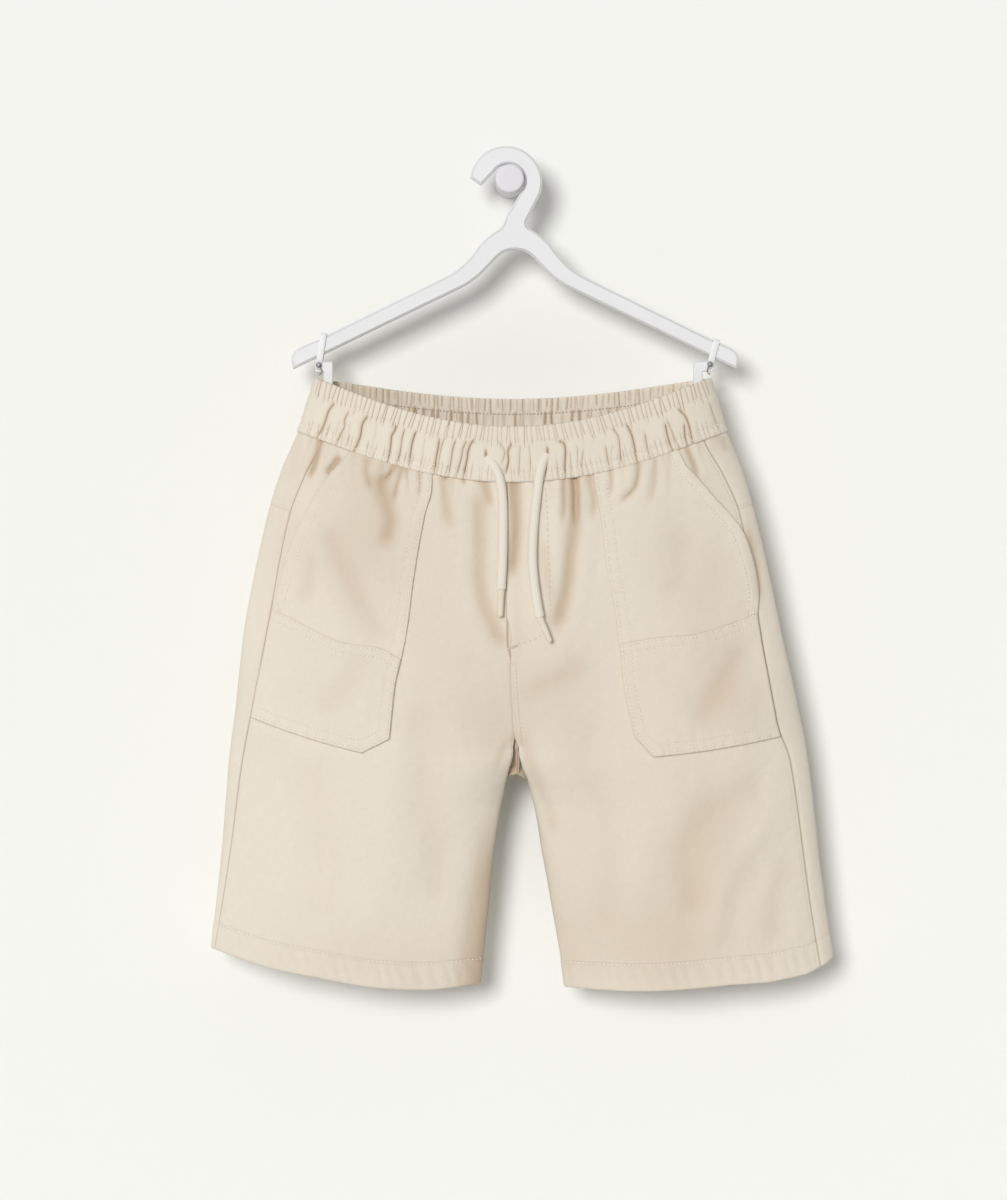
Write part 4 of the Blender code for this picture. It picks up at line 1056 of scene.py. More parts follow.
# How much the leg darkens towards its inner edge, where it turns from the light, and over which drops
INNER_SHADE, INNER_SHADE_IN = {"right": 0.80, "left": 0.10}, (270 * MM, 330 * MM)
CENTRE_LINE, CENTRE_SHADE = 1.7 * MM, 0.45      # the line of painted shade beside the centre seam, and how dark it is
BELOW_BAND = 0.5 * MM                           # from the waist seam to the line of painted shade below it
front_finish = twill("cotton_front", CREAM, (
    Row("X", 1.7, 0.7, 0.2), Row("Y", 1.8, 0.7, 0.16), Row("Z", 17.5, 1.0, 0.50)))
fronts = {}
for side_name, side in SIDES.items():
    grid, drop, outwards, from_inner, shade = front_panel_grid(side_name)
    down = WAIST_CORNER_Z - grid[..., 2]
    from_seam = from_inner[:, -1:] - from_inner
    plan = plans[side_name]
    below_lap = drop > LAP_LIFT_END[1]
    edges = (plan[:, 0], plan[-1], plan[:, -1])
    # lines of painted shade beside the pocket's edges, under the band, beside the lap's edge and the centre
    # seam
    from_pocket = [faded(beside_line(edge, outwards, down, 8 * MM)[0], share)
                   for edge, share in zip(edges, EDGE_SHADE[side_name])]
    fading = 2.5 * MM * (1 - smooth_step(drop, *LAP_SHADE) + smooth_step(drop, *LAP_LIFT_END))
    from_lap = outwards - LAP + fading if side < 0 else np.full(drop.shape, FAR)
    centre_seam = np.where(below_lap, from_inner, FAR)
    from_seam_line = np.where(below_lap & (side < 0), faded(from_inner - CENTRE_LINE, CENTRE_SHADE), FAR)
    contact = nearest_of(*from_pocket, drop - BAND_DROP - BELOW_BAND, from_lap, from_seam_line)
    # painted shade towards the leg's inner edge, where it turns from the light
    turning = (np.exp(-((outwards - outwards[:, :1]) / EDGE_REACH) ** 2)
               * smooth_step(drop, *INNER_SHADE_IN))
    deep = np.clip(shade + INNER_SHADE[side_name] * turning, 0, 1)
    fields = cloth_fields(side * from_inner + grid[:, :1, 0], drop, 0,
                          (centre_seam, from_seam, HEM_DROP - drop), deep, contact)
    half = hem_thickness(drop)
    piece = make_sheet(f"front_{side_name}", grid, side, front_finish, fields, half, half)
    fronts[side_name] = lay_cloth(piece, "cotton", f"front_panel_{side_name}", grid)

# %% [markdown]
# ## The backs
#
# A back goes round the side fold to the centre-back seam, in two pieces: a yoke and, below it, the leg.
# The yoke's lower edge is turned in and sewn on the leg's top edge.

# %% Back yokes and back legs
COARSE = 2.4 * MM
PART_COLUMNS = {"yoke": 96, "leg": 100}
LIP_ROWS = 248, 263, 0.8      # drops in mm where the rows stand closer, and how close
BESIDE_SEAM = 1.15 * MM       # how far the back is pressed down beside the side seam
SIDE_LINE = 0.8 * MM          # the line of painted shade beside the side seam lies this far past the tucked part
YOKE_LINE = 0.3 * MM
YOKE_LINE_SHOWS = (22 * MM, 50 * MM), 0.12      # the yoke's line of painted shade is faint nearer the side seam, down to this share
BACK_TOGETHER = (256 * MM, 262 * MM)            # below it the backs' inner edges follow the fronts'
FORK_MIDDLE, FORK_HALF, FORK_IN = 252, 22, 14 * MM      # the part inside the fork that gets painted shade
back_finish = twill("cotton_back", CREAM, (
    Row("X", 1.6, 0.7, 0.2), Row("X", 6.5, 0.7, 0.2), Row("Y", 1.5, 0.7, 0.2), Row("Y", 6.0, 0.7, 0.2),
    Row("Z", 17.5, 0.9, 0.28)))


def back_grid(side, start, end, columns):
    """Rows between two drops, columns from just under the front's side seam to the inner edge."""
    drop = drops_between(start, end, COARSE)
    lip_rows = np.arange(*LIP_ROWS) * MM
    drop = np.unique(np.concatenate([drop, lip_rows[(lip_rows > start) & (lip_rows < end)]]))
    seam = side_seam_turn(side, drop)
    width = oval(drop)[0]
    under = TUCK / np.hypot(width * np.sin(seam), level_value("depth_front", drop) * np.cos(seam))
    turn = even_turns(side, drop, seam - under, 2 * math.pi - inner_turn(drop), columns)
    drop = np.broadcast_to(drop[:, None], turn.shape)
    grid, shade = cloth_point(side, drop, turn)
    return grid, drop, lengths_across(grid), shade


def pressed(grid, side, depth):
    """The grid moved in along its normals."""
    return grid - side * grid_normals(grid) * depth[..., None]


backs = []
for side_name, side in SIDES.items():
    for part, start, end in (("yoke", BAND_DROP - TUCK, YOKE_DROP), ("leg", YOKE_DROP - TUCK, HEM_DROP)):
        grid, drop, across, shade = back_grid(side, start, end, PART_COLUMNS[part])
        if part == "yoke":
            slot, above = "cotton_band", "waistband"
            under, from_yoke = under_edge(drop), YOKE_DROP - drop
            from_top = drop - BAND_DROP - BELOW_BAND
        else:
            slot, above = "cotton", f"back_yoke_{side_name}"
            under, from_yoke = PRESSED * (1 - smooth_step(drop, start, start + 2 * TUCK)), FAR
            (shows_from, shows_to), least = YOKE_LINE_SHOWS
            showing = least + (1 - least) * smooth_step(across, shows_from, shows_to)
            from_top = faded(drop - YOKE_DROP - YOKE_LINE, showing)
        beside = BESIDE_SEAM * (1 - smooth_step(across, TUCK, 2.2 * TUCK))
        grid = pressed(grid, side, np.maximum(under, beside))
        from_inner = across[:, -1:] - across
        grid[..., 0] += moved_edge(side_name, drop, from_inner) * smooth_step(drop, *BACK_TOGETHER)
        # painted shade inside the fork, and lines of painted shade beside the side seam and below the band or
        # yoke
        crotch = np.exp(-((drop / MM - FORK_MIDDLE) / FORK_HALF) ** 4 - (from_inner / FORK_IN) ** 2)
        contact = nearest_of(across - TUCK - SIDE_LINE, from_top, from_inner + 3 * MM * crotch)
        fields = cloth_fields(across, drop, 1, (from_inner, from_yoke, HEM_DROP - drop),
                              np.maximum(shade, crotch), contact)
        half = hem_thickness(drop)
        piece = make_sheet(f"back_{part}_sheet_{side_name}", grid, side, back_finish, fields, half, half)
        backs.append(lay_cloth(piece, slot, f"back_{part}_{side_name}", grid))

# %% [markdown]
# ## The waistband
#
# The band is one ring of doubled cloth. Elastic in its channel gathers it, so its front is full of
# upright valleys that start at the header's stitches and run down into the seam. The header above the
# channel stands up in fine ruffles. The valleys are drawn where the front shows them, with the
# same cusp across each: deep and sharp at its line, rounded between. The back's are scattered.

# %% The band's valleys
BAND_THICK = 1.0 * MM         # from the band's middle to each face
ROW_ABOVE_SEAM = 5.6 * MM     # the upper of the two rows that close the channel

# Each valley: (x, down) in mm through which it runs, then its width and depth in mm
BAND_VALLEYS = (
    (((-121.7, 17.4), (-125.9, 23.3), (-128.7, 32), (-133.6, 41.1)), 3.0, 2.0),
    (((-124.4, 32.1), (-128.6, 43.2)), 2.4, 1.1),
    (((-118.1, 30.2), (-120.9, 40.4)), 2.2, 0.7),
    (((-111.8, 23.9), (-114.6, 29.4), (-114.9, 34.6), (-119.5, 43.7), (-120.9, 47)), 2.8, 1.6),
    (((-110.4, 30.6), (-111.7, 39.9), (-114.5, 48.6)), 2.2, 0.7),
    (((-98.5, 26.8), (-102, 32.3), (-103.3, 40), (-105.4, 45.5), (-108.9, 53)), 3.2, 2.1),
    (((-92, 32), (-93.5, 42), (-97, 55)), 2.2, 0.5),
    (((-78.9, 33.2), (-79.6, 37.4), (-81.7, 40.8), (-82.4, 47.8), (-84.5, 59)), 3.0, 2.1),
    (((-72.6, 36), (-74.4, 42.3), (-75.4, 49.9), (-78.5, 61)), 2.8, 1.6),
    (((-65, 38.1), (-67.1, 44.4), (-68.5, 52.7), (-69.8, 61)), 3.0, 2.1),
    (((-58, 42), (-59.5, 50), (-61, 64)), 2.2, 0.6),
    (((-48.7, 43.1), (-49.3, 48.6), (-50.6, 55.5), (-51.9, 63.9), (-52.2, 68)), 3.0, 2.1),
    (((-44.5, 41.7), (-46.9, 47.9), (-48.7, 57.6), (-50.4, 67.6)), 2.4, 1.2),
    (((-37.2, 43.8), (-39.3, 50), (-40.3, 57.6), (-42.3, 69)), 2.8, 1.6),
    (((-29.6, 44.2), (-32.3, 50), (-33.3, 56.3), (-37.2, 70)), 2.8, 1.6),
    (((-24.3, 42.4), (-28.2, 50), (-29.6, 58.3), (-32.3, 71)), 3.0, 2.1),
    (((-8.1, 42.4), (-6.3, 46.6), (-3.2, 52.1), (-5.3, 60.4)), 2.6, 1.3),
    (((1.6, 46.3), (-1.2, 52.1), (-0.5, 57.7), (-2.5, 66.6)), 3.0, 2.0),
    (((7.5, 47), (7.0, 56), (6.2, 70)), 2.6, 0.9),
    (((13.5, 47), (14.5, 58), (14.0, 71)), 2.6, 0.8),
    (((26.4, 53.2), (25.9, 60.4), (24.2, 71.1)), 2.6, 1.6),
    (((32.8, 58.4), (33.8, 72.2)), 2.2, 1.0),
    (((34.2, 44.5), (38, 46.6), (38.8, 52.8), (38.4, 60.4), (38.8, 70.8)), 3.0, 2.1),
    (((42.2, 52.9), (42.8, 70)), 2.2, 1.0),
    (((47, 48.7), (47.4, 60.4), (48.8, 69)), 2.2, 0.8),
    (((51.3, 50.8), (50.2, 59), (50.9, 69)), 2.4, 1.1),
    (((66.8, 48.6), (68.2, 57.6), (70.3, 66.2)), 2.8, 1.5),
    (((72.1, 47.5), (70.3, 54.1), (72.1, 65.5)), 2.2, 0.7),
    (((71.5, 36), (75.2, 40.9), (76.6, 49.9), (77, 60)), 2.8, 1.5),
    (((79.4, 46.5), (84.2, 61)), 2.2, 0.7),
    (((78.4, 27.7), (82.2, 34.6), (84.9, 40.8), (87, 49.9), (88, 56.1), (89.6, 61.6)), 3.0, 2.1),
    (((94, 39.1), (95.4, 47.7), (98.2, 58.1)), 2.8, 1.5),
    (((108, 32.4), (110.1, 42.1), (112.6, 49), (115, 54.8)), 3.0, 2.0),
    (((109.4, 30.2), (112.6, 37.2), (115, 43.4), (119.9, 51.3)), 2.6, 1.4),
    (((121.4, 32.7), (122.4, 41.9), (124.4, 50)), 3.0, 2.0),
    (((117.2, 21.8), (121.9, 26.3), (124.5, 32.1), (126, 38.1), (128, 47)), 3.0, 2.0),
    (((129.6, 30.9), (134, 44.2)), 2.4, 0.8),
    (((139.2, 17.4), (142, 26.2), (143.8, 31.1), (146.6, 37)), 2.8, 1.2),
)
SHARP = 0.78                  # share of a valley that is its sharp cusp; the rest is a wider bell


def drawn_valleys(x, down):
    """The front's drawn valleys: the deepest of their cusps, exp(-distance / width), at each place."""
    total = np.zeros(np.shape(x))
    for route, width, depth in BAND_VALLEYS:
        line = even_line(np.array(route) * MM, 1.5 * MM)
        off, along, length = beside_line(line, x, down, 4.5 * width * MM)
        off = np.abs(off)
        fade = smooth_step(along, -2 * MM, 1.5 * MM) * (1 - 0.3 * smooth_step(along, length - 4 * MM, length))
        cusp = (SHARP * np.exp(-off / (0.17 * width * MM))
                + (1 - SHARP) * np.exp(-(off / (0.8 * width * MM)) ** 2))
        total = np.minimum(total, -depth * MM * fade * cusp * (off < 4.4 * width * MM))
    return total


# Scattered cusps, in mm. low, high: between which x they stand. pitch: their mean spacing. fan: how far
# they lean away from the middle, as a slope. top, bottom: the drops between which they run. width: in
# which one falls off. depth: least and greatest.
Cusps = namedtuple("Cusps", "low high pitch fan top bottom width depth seed")
HEADER_FRONT = Cusps(-139, 143, 3.1, 0.30, -2, 13.5, 0.36, (0.80, 1.45), 41)
HEADER_BACK = Cusps(-139, 143, 3.3, 0.0, -2, 11.5, 0.45, (0.35, 1.05), 42)
ABOVE_SEAM = Cusps(-152, 154, 3.3, 0.25, 26.5, 40, 0.36, (0.40, 1.10), 43)
BACK_VALLEYS = Cusps(-148, 150, 6.6, 0.0, 8, 40, 0.80, (0.6, 1.7), 44)
INSIDE_HIGH = Cusps(-137, 141, 4.3, 0.0, -2, 10.5, 0.42, (0.75, 1.60), 45)
INSIDE_LOW = Cusps(-140, 144, 6.8, 0.0, 9, 40, 0.42, (0.70, 1.60), 46)
# How far one lies off its even place, as a share of the pitch; leans, as a slope; and is longer, in mm
PLACED_OFF, LEANS_OFF, LONGER = 0.26, 0.09, 2.5
FEW_DEEP, FULL_FAN = 1.8, 45            # power that keeps deep ones rare; x in mm where the fan is whole


def scattered(kinds, x, drop):
    """The deepest of scattered cusps of some kinds at each place, in metres."""
    total = np.zeros(np.shape(x))
    for cusps in kinds:
        rng = np.random.default_rng(cusps.seed)
        spots = np.arange(cusps.low, cusps.high, cusps.pitch)
        least, most = cusps.depth
        for spot in spots + rng.uniform(-PLACED_OFF, PLACED_OFF, len(spots)) * cusps.pitch:
            wobble, longer = rng.uniform((-LEANS_OFF, -LONGER), (LEANS_OFF, LONGER))
            depth = least + (most - least) * rng.uniform() ** FEW_DEEP
            slope = cusps.fan * np.clip(spot / FULL_FAN, -1, 1) + wobble
            off = np.abs(x - (spot * MM + slope * (drop - HEADER)))
            starts = cusps.top + 2 + longer * (cusps.top > 20)
            ends = cusps.bottom + longer
            fade = (smooth_step(drop, (cusps.top - 1) * MM, starts * MM)
                    * (1 - smooth_step(drop, (ends - 4) * MM, ends * MM)))
            total = np.minimum(total, -depth * MM * fade * np.exp(-off / (cusps.width * MM)))
    return total


def channel_profile(drop):
    """0 at the header's row and the closing row, rising to 1 between them."""
    share = np.clip((drop - HEADER) / (BAND_DROP - ROW_ABOVE_SEAM - HEADER), 0, 1)
    return np.sin(math.pi * share) ** 0.55


# %% The band's ring
FRONT_COLUMNS, BACK_COLUMNS = 1020, 740
BUTTONHOLES = ((-16.3, 55.0), (26.4, 53.0))      # (x, down) in mm, where the cord comes out
HOLE_DEPTH, CHANNEL_RISE = 1.6 * MM, 0.75 * MM
CUT_SHARE = 0.62              # how much of a valley moves the whole cloth; the rest thins its outer face
SMALL_DARK = 1.6              # how much more painted shade than deep the finest ruffles get
DIM_END, DIM_SHADE = (-104, 34), 0.30            # middle and half-width on X in mm: painted shade at the inside's end, which turns from the lamp


def band_grid():
    """The ring: columns evenly spaced round front and back, rows from the top edge to below the seam.

    Returns the grid, each point's drop and distance round, the cuts in its outer and its inner face, how
    dark those look from outside, and the part of the inside that turns from the lamp.
    """
    level = LEVELS[1]
    angles, starts = [], [0.0]
    for first, depth, columns in ((0.0, level.depth_front, FRONT_COLUMNS),
                                  (math.pi, level.depth_back, BACK_COLUMNS)):
        fine = first + np.linspace(0.0, math.pi, 2000)
        length = lengths_along(np.stack([level.half * MM * np.cos(fine), depth * MM * np.sin(fine)], axis=1))
        at = np.arange(columns) / columns * length[-1]
        angles.append(np.interp(at, length, fine))
        starts.append(starts[-1] + length[-1])
        along = at if first == 0.0 else np.concatenate([along, starts[1] + at])
    drop = np.concatenate([np.linspace(0, HEADER, 10)[:-1], np.linspace(HEADER, BAND_DROP + 0.5 * MM, 18)])
    angle, drop = np.broadcast_arrays(np.concatenate(angles)[None, :], drop[:, None])
    near = np.arccos(np.clip(np.abs(np.cos(angle)), 0, 1))
    on_front = np.sin(angle) >= 0
    turn = np.where(on_front, math.pi - near, math.pi + near)
    left, right = bare_point(1, drop, turn), bare_point(-1, drop, turn)
    x, y, down = (np.where(np.cos(angle) >= 0, a, b) for a, b in zip(left, right))
    from_fold = level_value("half", drop) * (1 - np.abs(np.cos(angle)))
    clear = smooth_step(from_fold, 0.3 * MM, 5 * MM)

    below_header = smooth_step(drop, HEADER - 2 * MM, HEADER + 1.5 * MM)
    small = scattered((HEADER_FRONT, ABOVE_SEAM), x, drop)
    front = np.minimum(drawn_valleys(x, down) * below_header, small)
    for hole_x, hole_down in BUTTONHOLES:
        sunk = np.exp(-((x / MM - hole_x) / 1.3) ** 2 - ((down / MM - hole_down + 1.5) / 3.2) ** 2)
        front = np.minimum(front, -HOLE_DEPTH * sunk)
    outside = np.where(on_front, front, scattered((HEADER_BACK, BACK_VALLEYS), x, drop)) * clear
    # how much painted shade the valleys get; the finest ruffles get more
    dark = np.minimum(outside, np.where(on_front, SMALL_DARK * small, 0.0) * clear)
    inside = np.where(on_front, 0.0, scattered((INSIDE_HIGH, INSIDE_LOW), x, drop))
    profile = channel_profile(drop)
    soft = 0.30 * MM * ripples(along + 0 * drop, drop, 26 * MM, 47) * profile
    height = CUT_SHARE * outside + soft * clear + CHANNEL_RISE * profile
    grid = np.stack([x + height * 0.3 * np.cos(angle), y - height * np.sin(angle),
                     WAIST_CORNER_Z - down], axis=-1)
    turned_away = np.exp(-((x / MM - DIM_END[0]) / DIM_END[1]) ** 2) * ~on_front
    return grid, drop, np.broadcast_to(along, drop.shape), outside, inside * clear, dark, turned_away


band_finish = twill("cotton_band", CREAM, (
    Row("Y", 10.0, 0.8, 0.12), Row("Y", 30.4, 0.8, 0.10), Row("Y", 34.6, 0.7, 0.10)))
grid, drop, along, outside, inside, dark, turned_away = band_grid()
# thinner at the header's row and at the upper of the closing rows, thicker where it hangs over the seam
pinch = (1 - 0.22 * np.exp(-((drop - HEADER) / (1.4 * MM)) ** 2)
         - 0.16 * np.exp(-((drop - BAND_DROP + ROW_ABOVE_SEAM) / (1.2 * MM)) ** 2))
overhang = 0.45 * MM * smooth_step(drop, BAND_DROP - 5 * MM, BAND_DROP - 1 * MM)
outer = BAND_THICK * pinch + overhang + (1 - CUT_SHARE) * outside
inner = np.maximum(BAND_THICK * pinch + 0.8 * inside, 0.15 * MM)
# painted shade in the valleys: "deep" grows over the first 1.10 mm, and the brown core is whole at
# 1.70 or 1.45 mm
band_shade = np.clip(np.maximum(-dark, -inside) / (1.10 * MM), 0, 1) ** 1.4 + DIM_SHADE * turned_away
core = np.clip(np.maximum(-dark / (1.70 * MM), -inside / (1.45 * MM)), 0, 1)
fields = cloth_fields(along, drop, 2, (FAR, drop, FAR), np.clip(band_shade, 0, 1),
                      2.2 * SHADE_LINE_WIDTH * (1 - core))
facing = -1 if grid_normals(grid, True)[20, 225, 1] > 0 else 1
waistband = make_sheet("waistband_sheet", grid, facing, band_finish, fields, outer, inner, ring=True)
lay_cloth(waistband, "cotton_band", "waistband", grid,
          ring=True)

# %% [markdown]
# ## The patch pockets
#
# A pocket is a flat piece sewn on the front round its inner and lower edges. Its outer edge is the
# slanted opening and, below that, lies beside the side seam. A second layer covers its lower part. Both
# are laid out on the flat front and then raised from its points, so they follow its creases.

# %% Layers on the front
PATCH_SHADE = {"right": 0.18, "left": 0.75}     # how dark the line of painted shade above the second layer is
LAYER_LIFT = 1.35 * MM        # from one layer's middle to the next
GAPE = 1.5 * MM               # how far the opening stands off the front
GAPE_IN, GAPE_OUT = (58 * MM, 76 * MM), (112 * MM, 155 * MM)
BELOW_TOP = 0.85 * MM         # from the first layer's middle to the second's, beyond LAYER_LIFT
POCKET_HALF, PATCH_HALF = 0.45 * MM, 0.42 * MM           # half their thickness
PATCH_INSET = 0.009           # share by which the second layer is smaller than the pocket under it


def edge_puckers(off, along, pitch, reach, seed):
    """Small ripples that a needle row pulls up: they run across the seam and die away from it."""
    phase = along / pitch + 0.45 * ripples(along, along, 5 * pitch, seed)
    return np.sin(2 * math.pi * phase) * np.exp(-np.abs(off) / reach)


def layer_on_front(side, plan, sewn_line):
    """A pocket layer's points, its drops, its distances from its sewn edge and its shade.

    It stands off the creased front by its lift along the front's normals, with puckers along its
    stitches and a slight swell away from them, and lies flatter where it goes under the band.
    """
    drop, turn = front_level(side, plan[..., 0], plan[..., 1])
    sheet, shade = cloth_point(side, drop, turn)
    normal = grid_normals(sheet)
    normal *= -np.sign(normal[..., 1:2])
    off, along, _ = beside_line(sewn_line, plan[..., 0], plan[..., 1], 30 * MM)
    off = np.abs(off)
    free = smooth_step(drop, BAND_DROP - 1 * MM, BAND_DROP + 9 * MM)
    lift = LAYER_LIFT * (0.25 + 0.75 * free) - under_edge(drop)
    lift += 0.22 * MM * edge_puckers(off - 3 * MM, along, 8.2 * MM, 6 * MM, 51) * free
    lift += 0.5 * MM * smooth_step(off, 9 * MM, 22 * MM)
    return sheet, normal, lift, drop, off, shade


def patch_layout(side, pocket, plan):
    """The second layer's plan: the pocket's lower part below a drawn line, a hair inside its edges."""
    first = float(seam_outwards(side, pocket.patch_side * MM)) - POCKET_FROM_SEAM
    top = smooth_line(np.concatenate([[[first, pocket.patch_side * MM]], np.array(pocket.patch_top) * MM]),
                      np.linspace(0, 1, 200))
    u, v = POCKET_ACROSS, np.linspace(0, 1, 62)
    outer = np.concatenate([top[:1], plan[:, 0][plan[:, 0, 1] >= top[0, 1]]])
    inner = np.concatenate([top[-1:], plan[:, -1][plan[:, -1, 1] >= top[-1, 1]]])
    layout = four_sided(by_length(top, u), by_length(plan[-1], u), by_length(outer, v),
                        by_length(inner, v), u, v)
    return layout + (layout.mean(axis=(0, 1)) - layout) * PATCH_INSET


def inner_and_lower(plan):
    """The edges by which a pocket is sewn on: down its inner edge, then along its lower one."""
    return np.concatenate([plan[:, -1], plan[-1, -2::-1]])


# %% Pockets and their second layer
pocket_finish = twill("cotton_pocket", CREAM, (
    Row("X", 1.8, 0.7, 0.2), Row("X", 7.8, 0.7, 0.2), Row("Y", 5.8, 0.7, 0.2)))
patch_finish = twill("cotton_patch", CREAM, (
    Row("X", 1.8, 0.7, 0.2), Row("X", 7.8, 0.7, 0.2), Row("Y", 1.6, 0.7, 0.2), Row("Y", 6.8, 0.7, 0.2)))
pockets, patches, patch_plans = {}, {}, {}
for side_name, side in SIDES.items():
    pocket, plan = POCKETS[side_name], plans[side_name]
    sewn_line = inner_and_lower(plan)
    patch_plan = patch_plans[side_name] = patch_layout(side, pocket, plan)

    off_mouth, along_mouth, _ = beside_line(plan[:, 0], plan[..., 0], plan[..., 1], 30 * MM)
    off_patch, _, _ = beside_line(patch_plan[0], plan[..., 0], plan[..., 1], 30 * MM)
    off_mouth = np.abs(off_mouth)
    sheet, normal, height, drop, off, shade = layer_on_front(side, plan, sewn_line)
    open_part = smooth_step(plan[..., 1], *GAPE_IN) * (1 - smooth_step(plan[..., 1], *GAPE_OUT))
    height += GAPE * open_part * np.exp(-off_mouth / (14 * MM))
    height += 0.15 * MM * edge_puckers(off_mouth, along_mouth, 9 * MM, 5 * MM, 52) * open_part
    grid = sheet + normal * height[..., None]
    # lines of painted shade above the second layer and below the band
    contact = nearest_of(faded(off_patch - 0.3 * MM, PATCH_SHADE[side_name]), drop - BAND_DROP - BELOW_BAND)
    fields = cloth_fields(side * plan[..., 0], plan[..., 1], 3, (off, off_mouth, FAR), shade, contact)
    facing = -1 if grid_normals(grid)[60, 40, 1] > 0 else 1
    piece = make_sheet(f"pocket_sheet_{side_name}", grid, facing, pocket_finish, fields,
                       POCKET_HALF, POCKET_HALF)
    pockets[side_name] = lay_cloth(piece, "cotton_pocket", f"pocket_{side_name}", grid)

    off_top, along_top, _ = beside_line(patch_plan[0], patch_plan[..., 0], patch_plan[..., 1], 30 * MM)
    sheet, normal, height, drop, off, shade = layer_on_front(side, patch_plan, sewn_line)
    off_top = np.abs(off_top)
    height += BELOW_TOP + 0.2 * MM * edge_puckers(off_top, along_top, 8 * MM, 5 * MM, 53)
    grid = sheet + normal * height[..., None]
    fields = cloth_fields(side * patch_plan[..., 0], patch_plan[..., 1], 4, (off, off_top, FAR), shade, FAR)
    piece = make_sheet(f"patch_sheet_{side_name}", grid, facing, patch_finish, fields,
                       PATCH_HALF, PATCH_HALF)
    patches[side_name] = lay_cloth(piece, "cotton_pocket", f"pocket_patch_{side_name}", grid)

# %% [markdown]
# ## Stitches
#
# Every row of thread is a run of short stitches, half sunk in the cloth. Each is a tiny capsule with a
# few faces, copied along the row in one array. A ray sent at the cloth finds where each lies and how
# the cloth slopes there, so rows cross layers and creases just as thread does. A bar tack is a block of
# close stitches set across, and it holds the ends of the fly and of the pocket openings.

# %% Thread
STITCH_PITCH, STITCH_LONG, STITCH_WIDE = 2.9 * MM, 2.0 * MM, 0.68 * MM
thread_finish, thread_shader, start = new_finish("sewing_thread", 0.75, {"Sheen Weight": 0.1})
ply = start.noise(2600.0, 2.0)
connect(thread_shader, "Normal", bumped(ply * 0.06, start))
hole = start.field("hole")
yarn = mixed(start.noise(60.0, 2.0).clipped(), (0.94, 0.89, 0.81), (0.86, 0.79, 0.69))
# painted shade at each stitch's ends, in the needle's hole, and on rows deep between ruffles
connect(thread_shader, "Base Color", mixed(hole.clipped(), yarn, SHADE_BROWN))


def stitches_along(line, pitch=STITCH_PITCH):
    """Middles and directions of stitches along a line of (x, z) places."""
    at = np.arange(0.5 * pitch, lengths_along(line)[-1], pitch)
    start, end = (read_line(line, at + shift) for shift in (-0.4 * pitch, 0.4 * pitch))
    return (start + end) / 2, end - start


def bar_tack(x, z, angle, long, wide=2.4 * MM, gap=0.62 * MM):
    """Middles and directions of a block of stitches side by side, along a line at this angle."""
    run = np.array([math.cos(angle), math.sin(angle)])
    at = np.arange(-long / 2, long / 2, gap)
    middles = np.array([x, z]) + at[:, None] * run
    return middles, np.broadcast_to(wide * np.array([-run[1], run[0]]), middles.shape)


def laid_on(trees, middles, towards, from_y):
    """Rays along Y from from_y: where each first meets one of the cloths, and the cloth's normal there."""
    spots, normals = [], []
    for x, z in middles.tolist():
        hits = [tree.ray_cast((x, from_y, z), (0.0, towards, 0.0)) for tree in trees]
        hits = [hit for hit in hits if hit[0] is not None]
        nearest = min(hits, key=lambda hit: hit[3]) if hits else ((math.nan,) * 3, (0.0, 1.0, 0.0))
        spots.append(tuple(nearest[0]))
        normals.append(tuple(nearest[1]))
    return np.array(spots), np.array(normals)


# A ray's way along Y, and where it starts in metres; the last one sees only the band's far inside
FROM_FRONT, FROM_BACK, FROM_MIDDLE = (1.0, -0.6), (-1.0, 0.3), (1.0, -0.044)
ROW_POINTS = 300
RINGS, CORNERS = 4, 5                                    # of one stitch


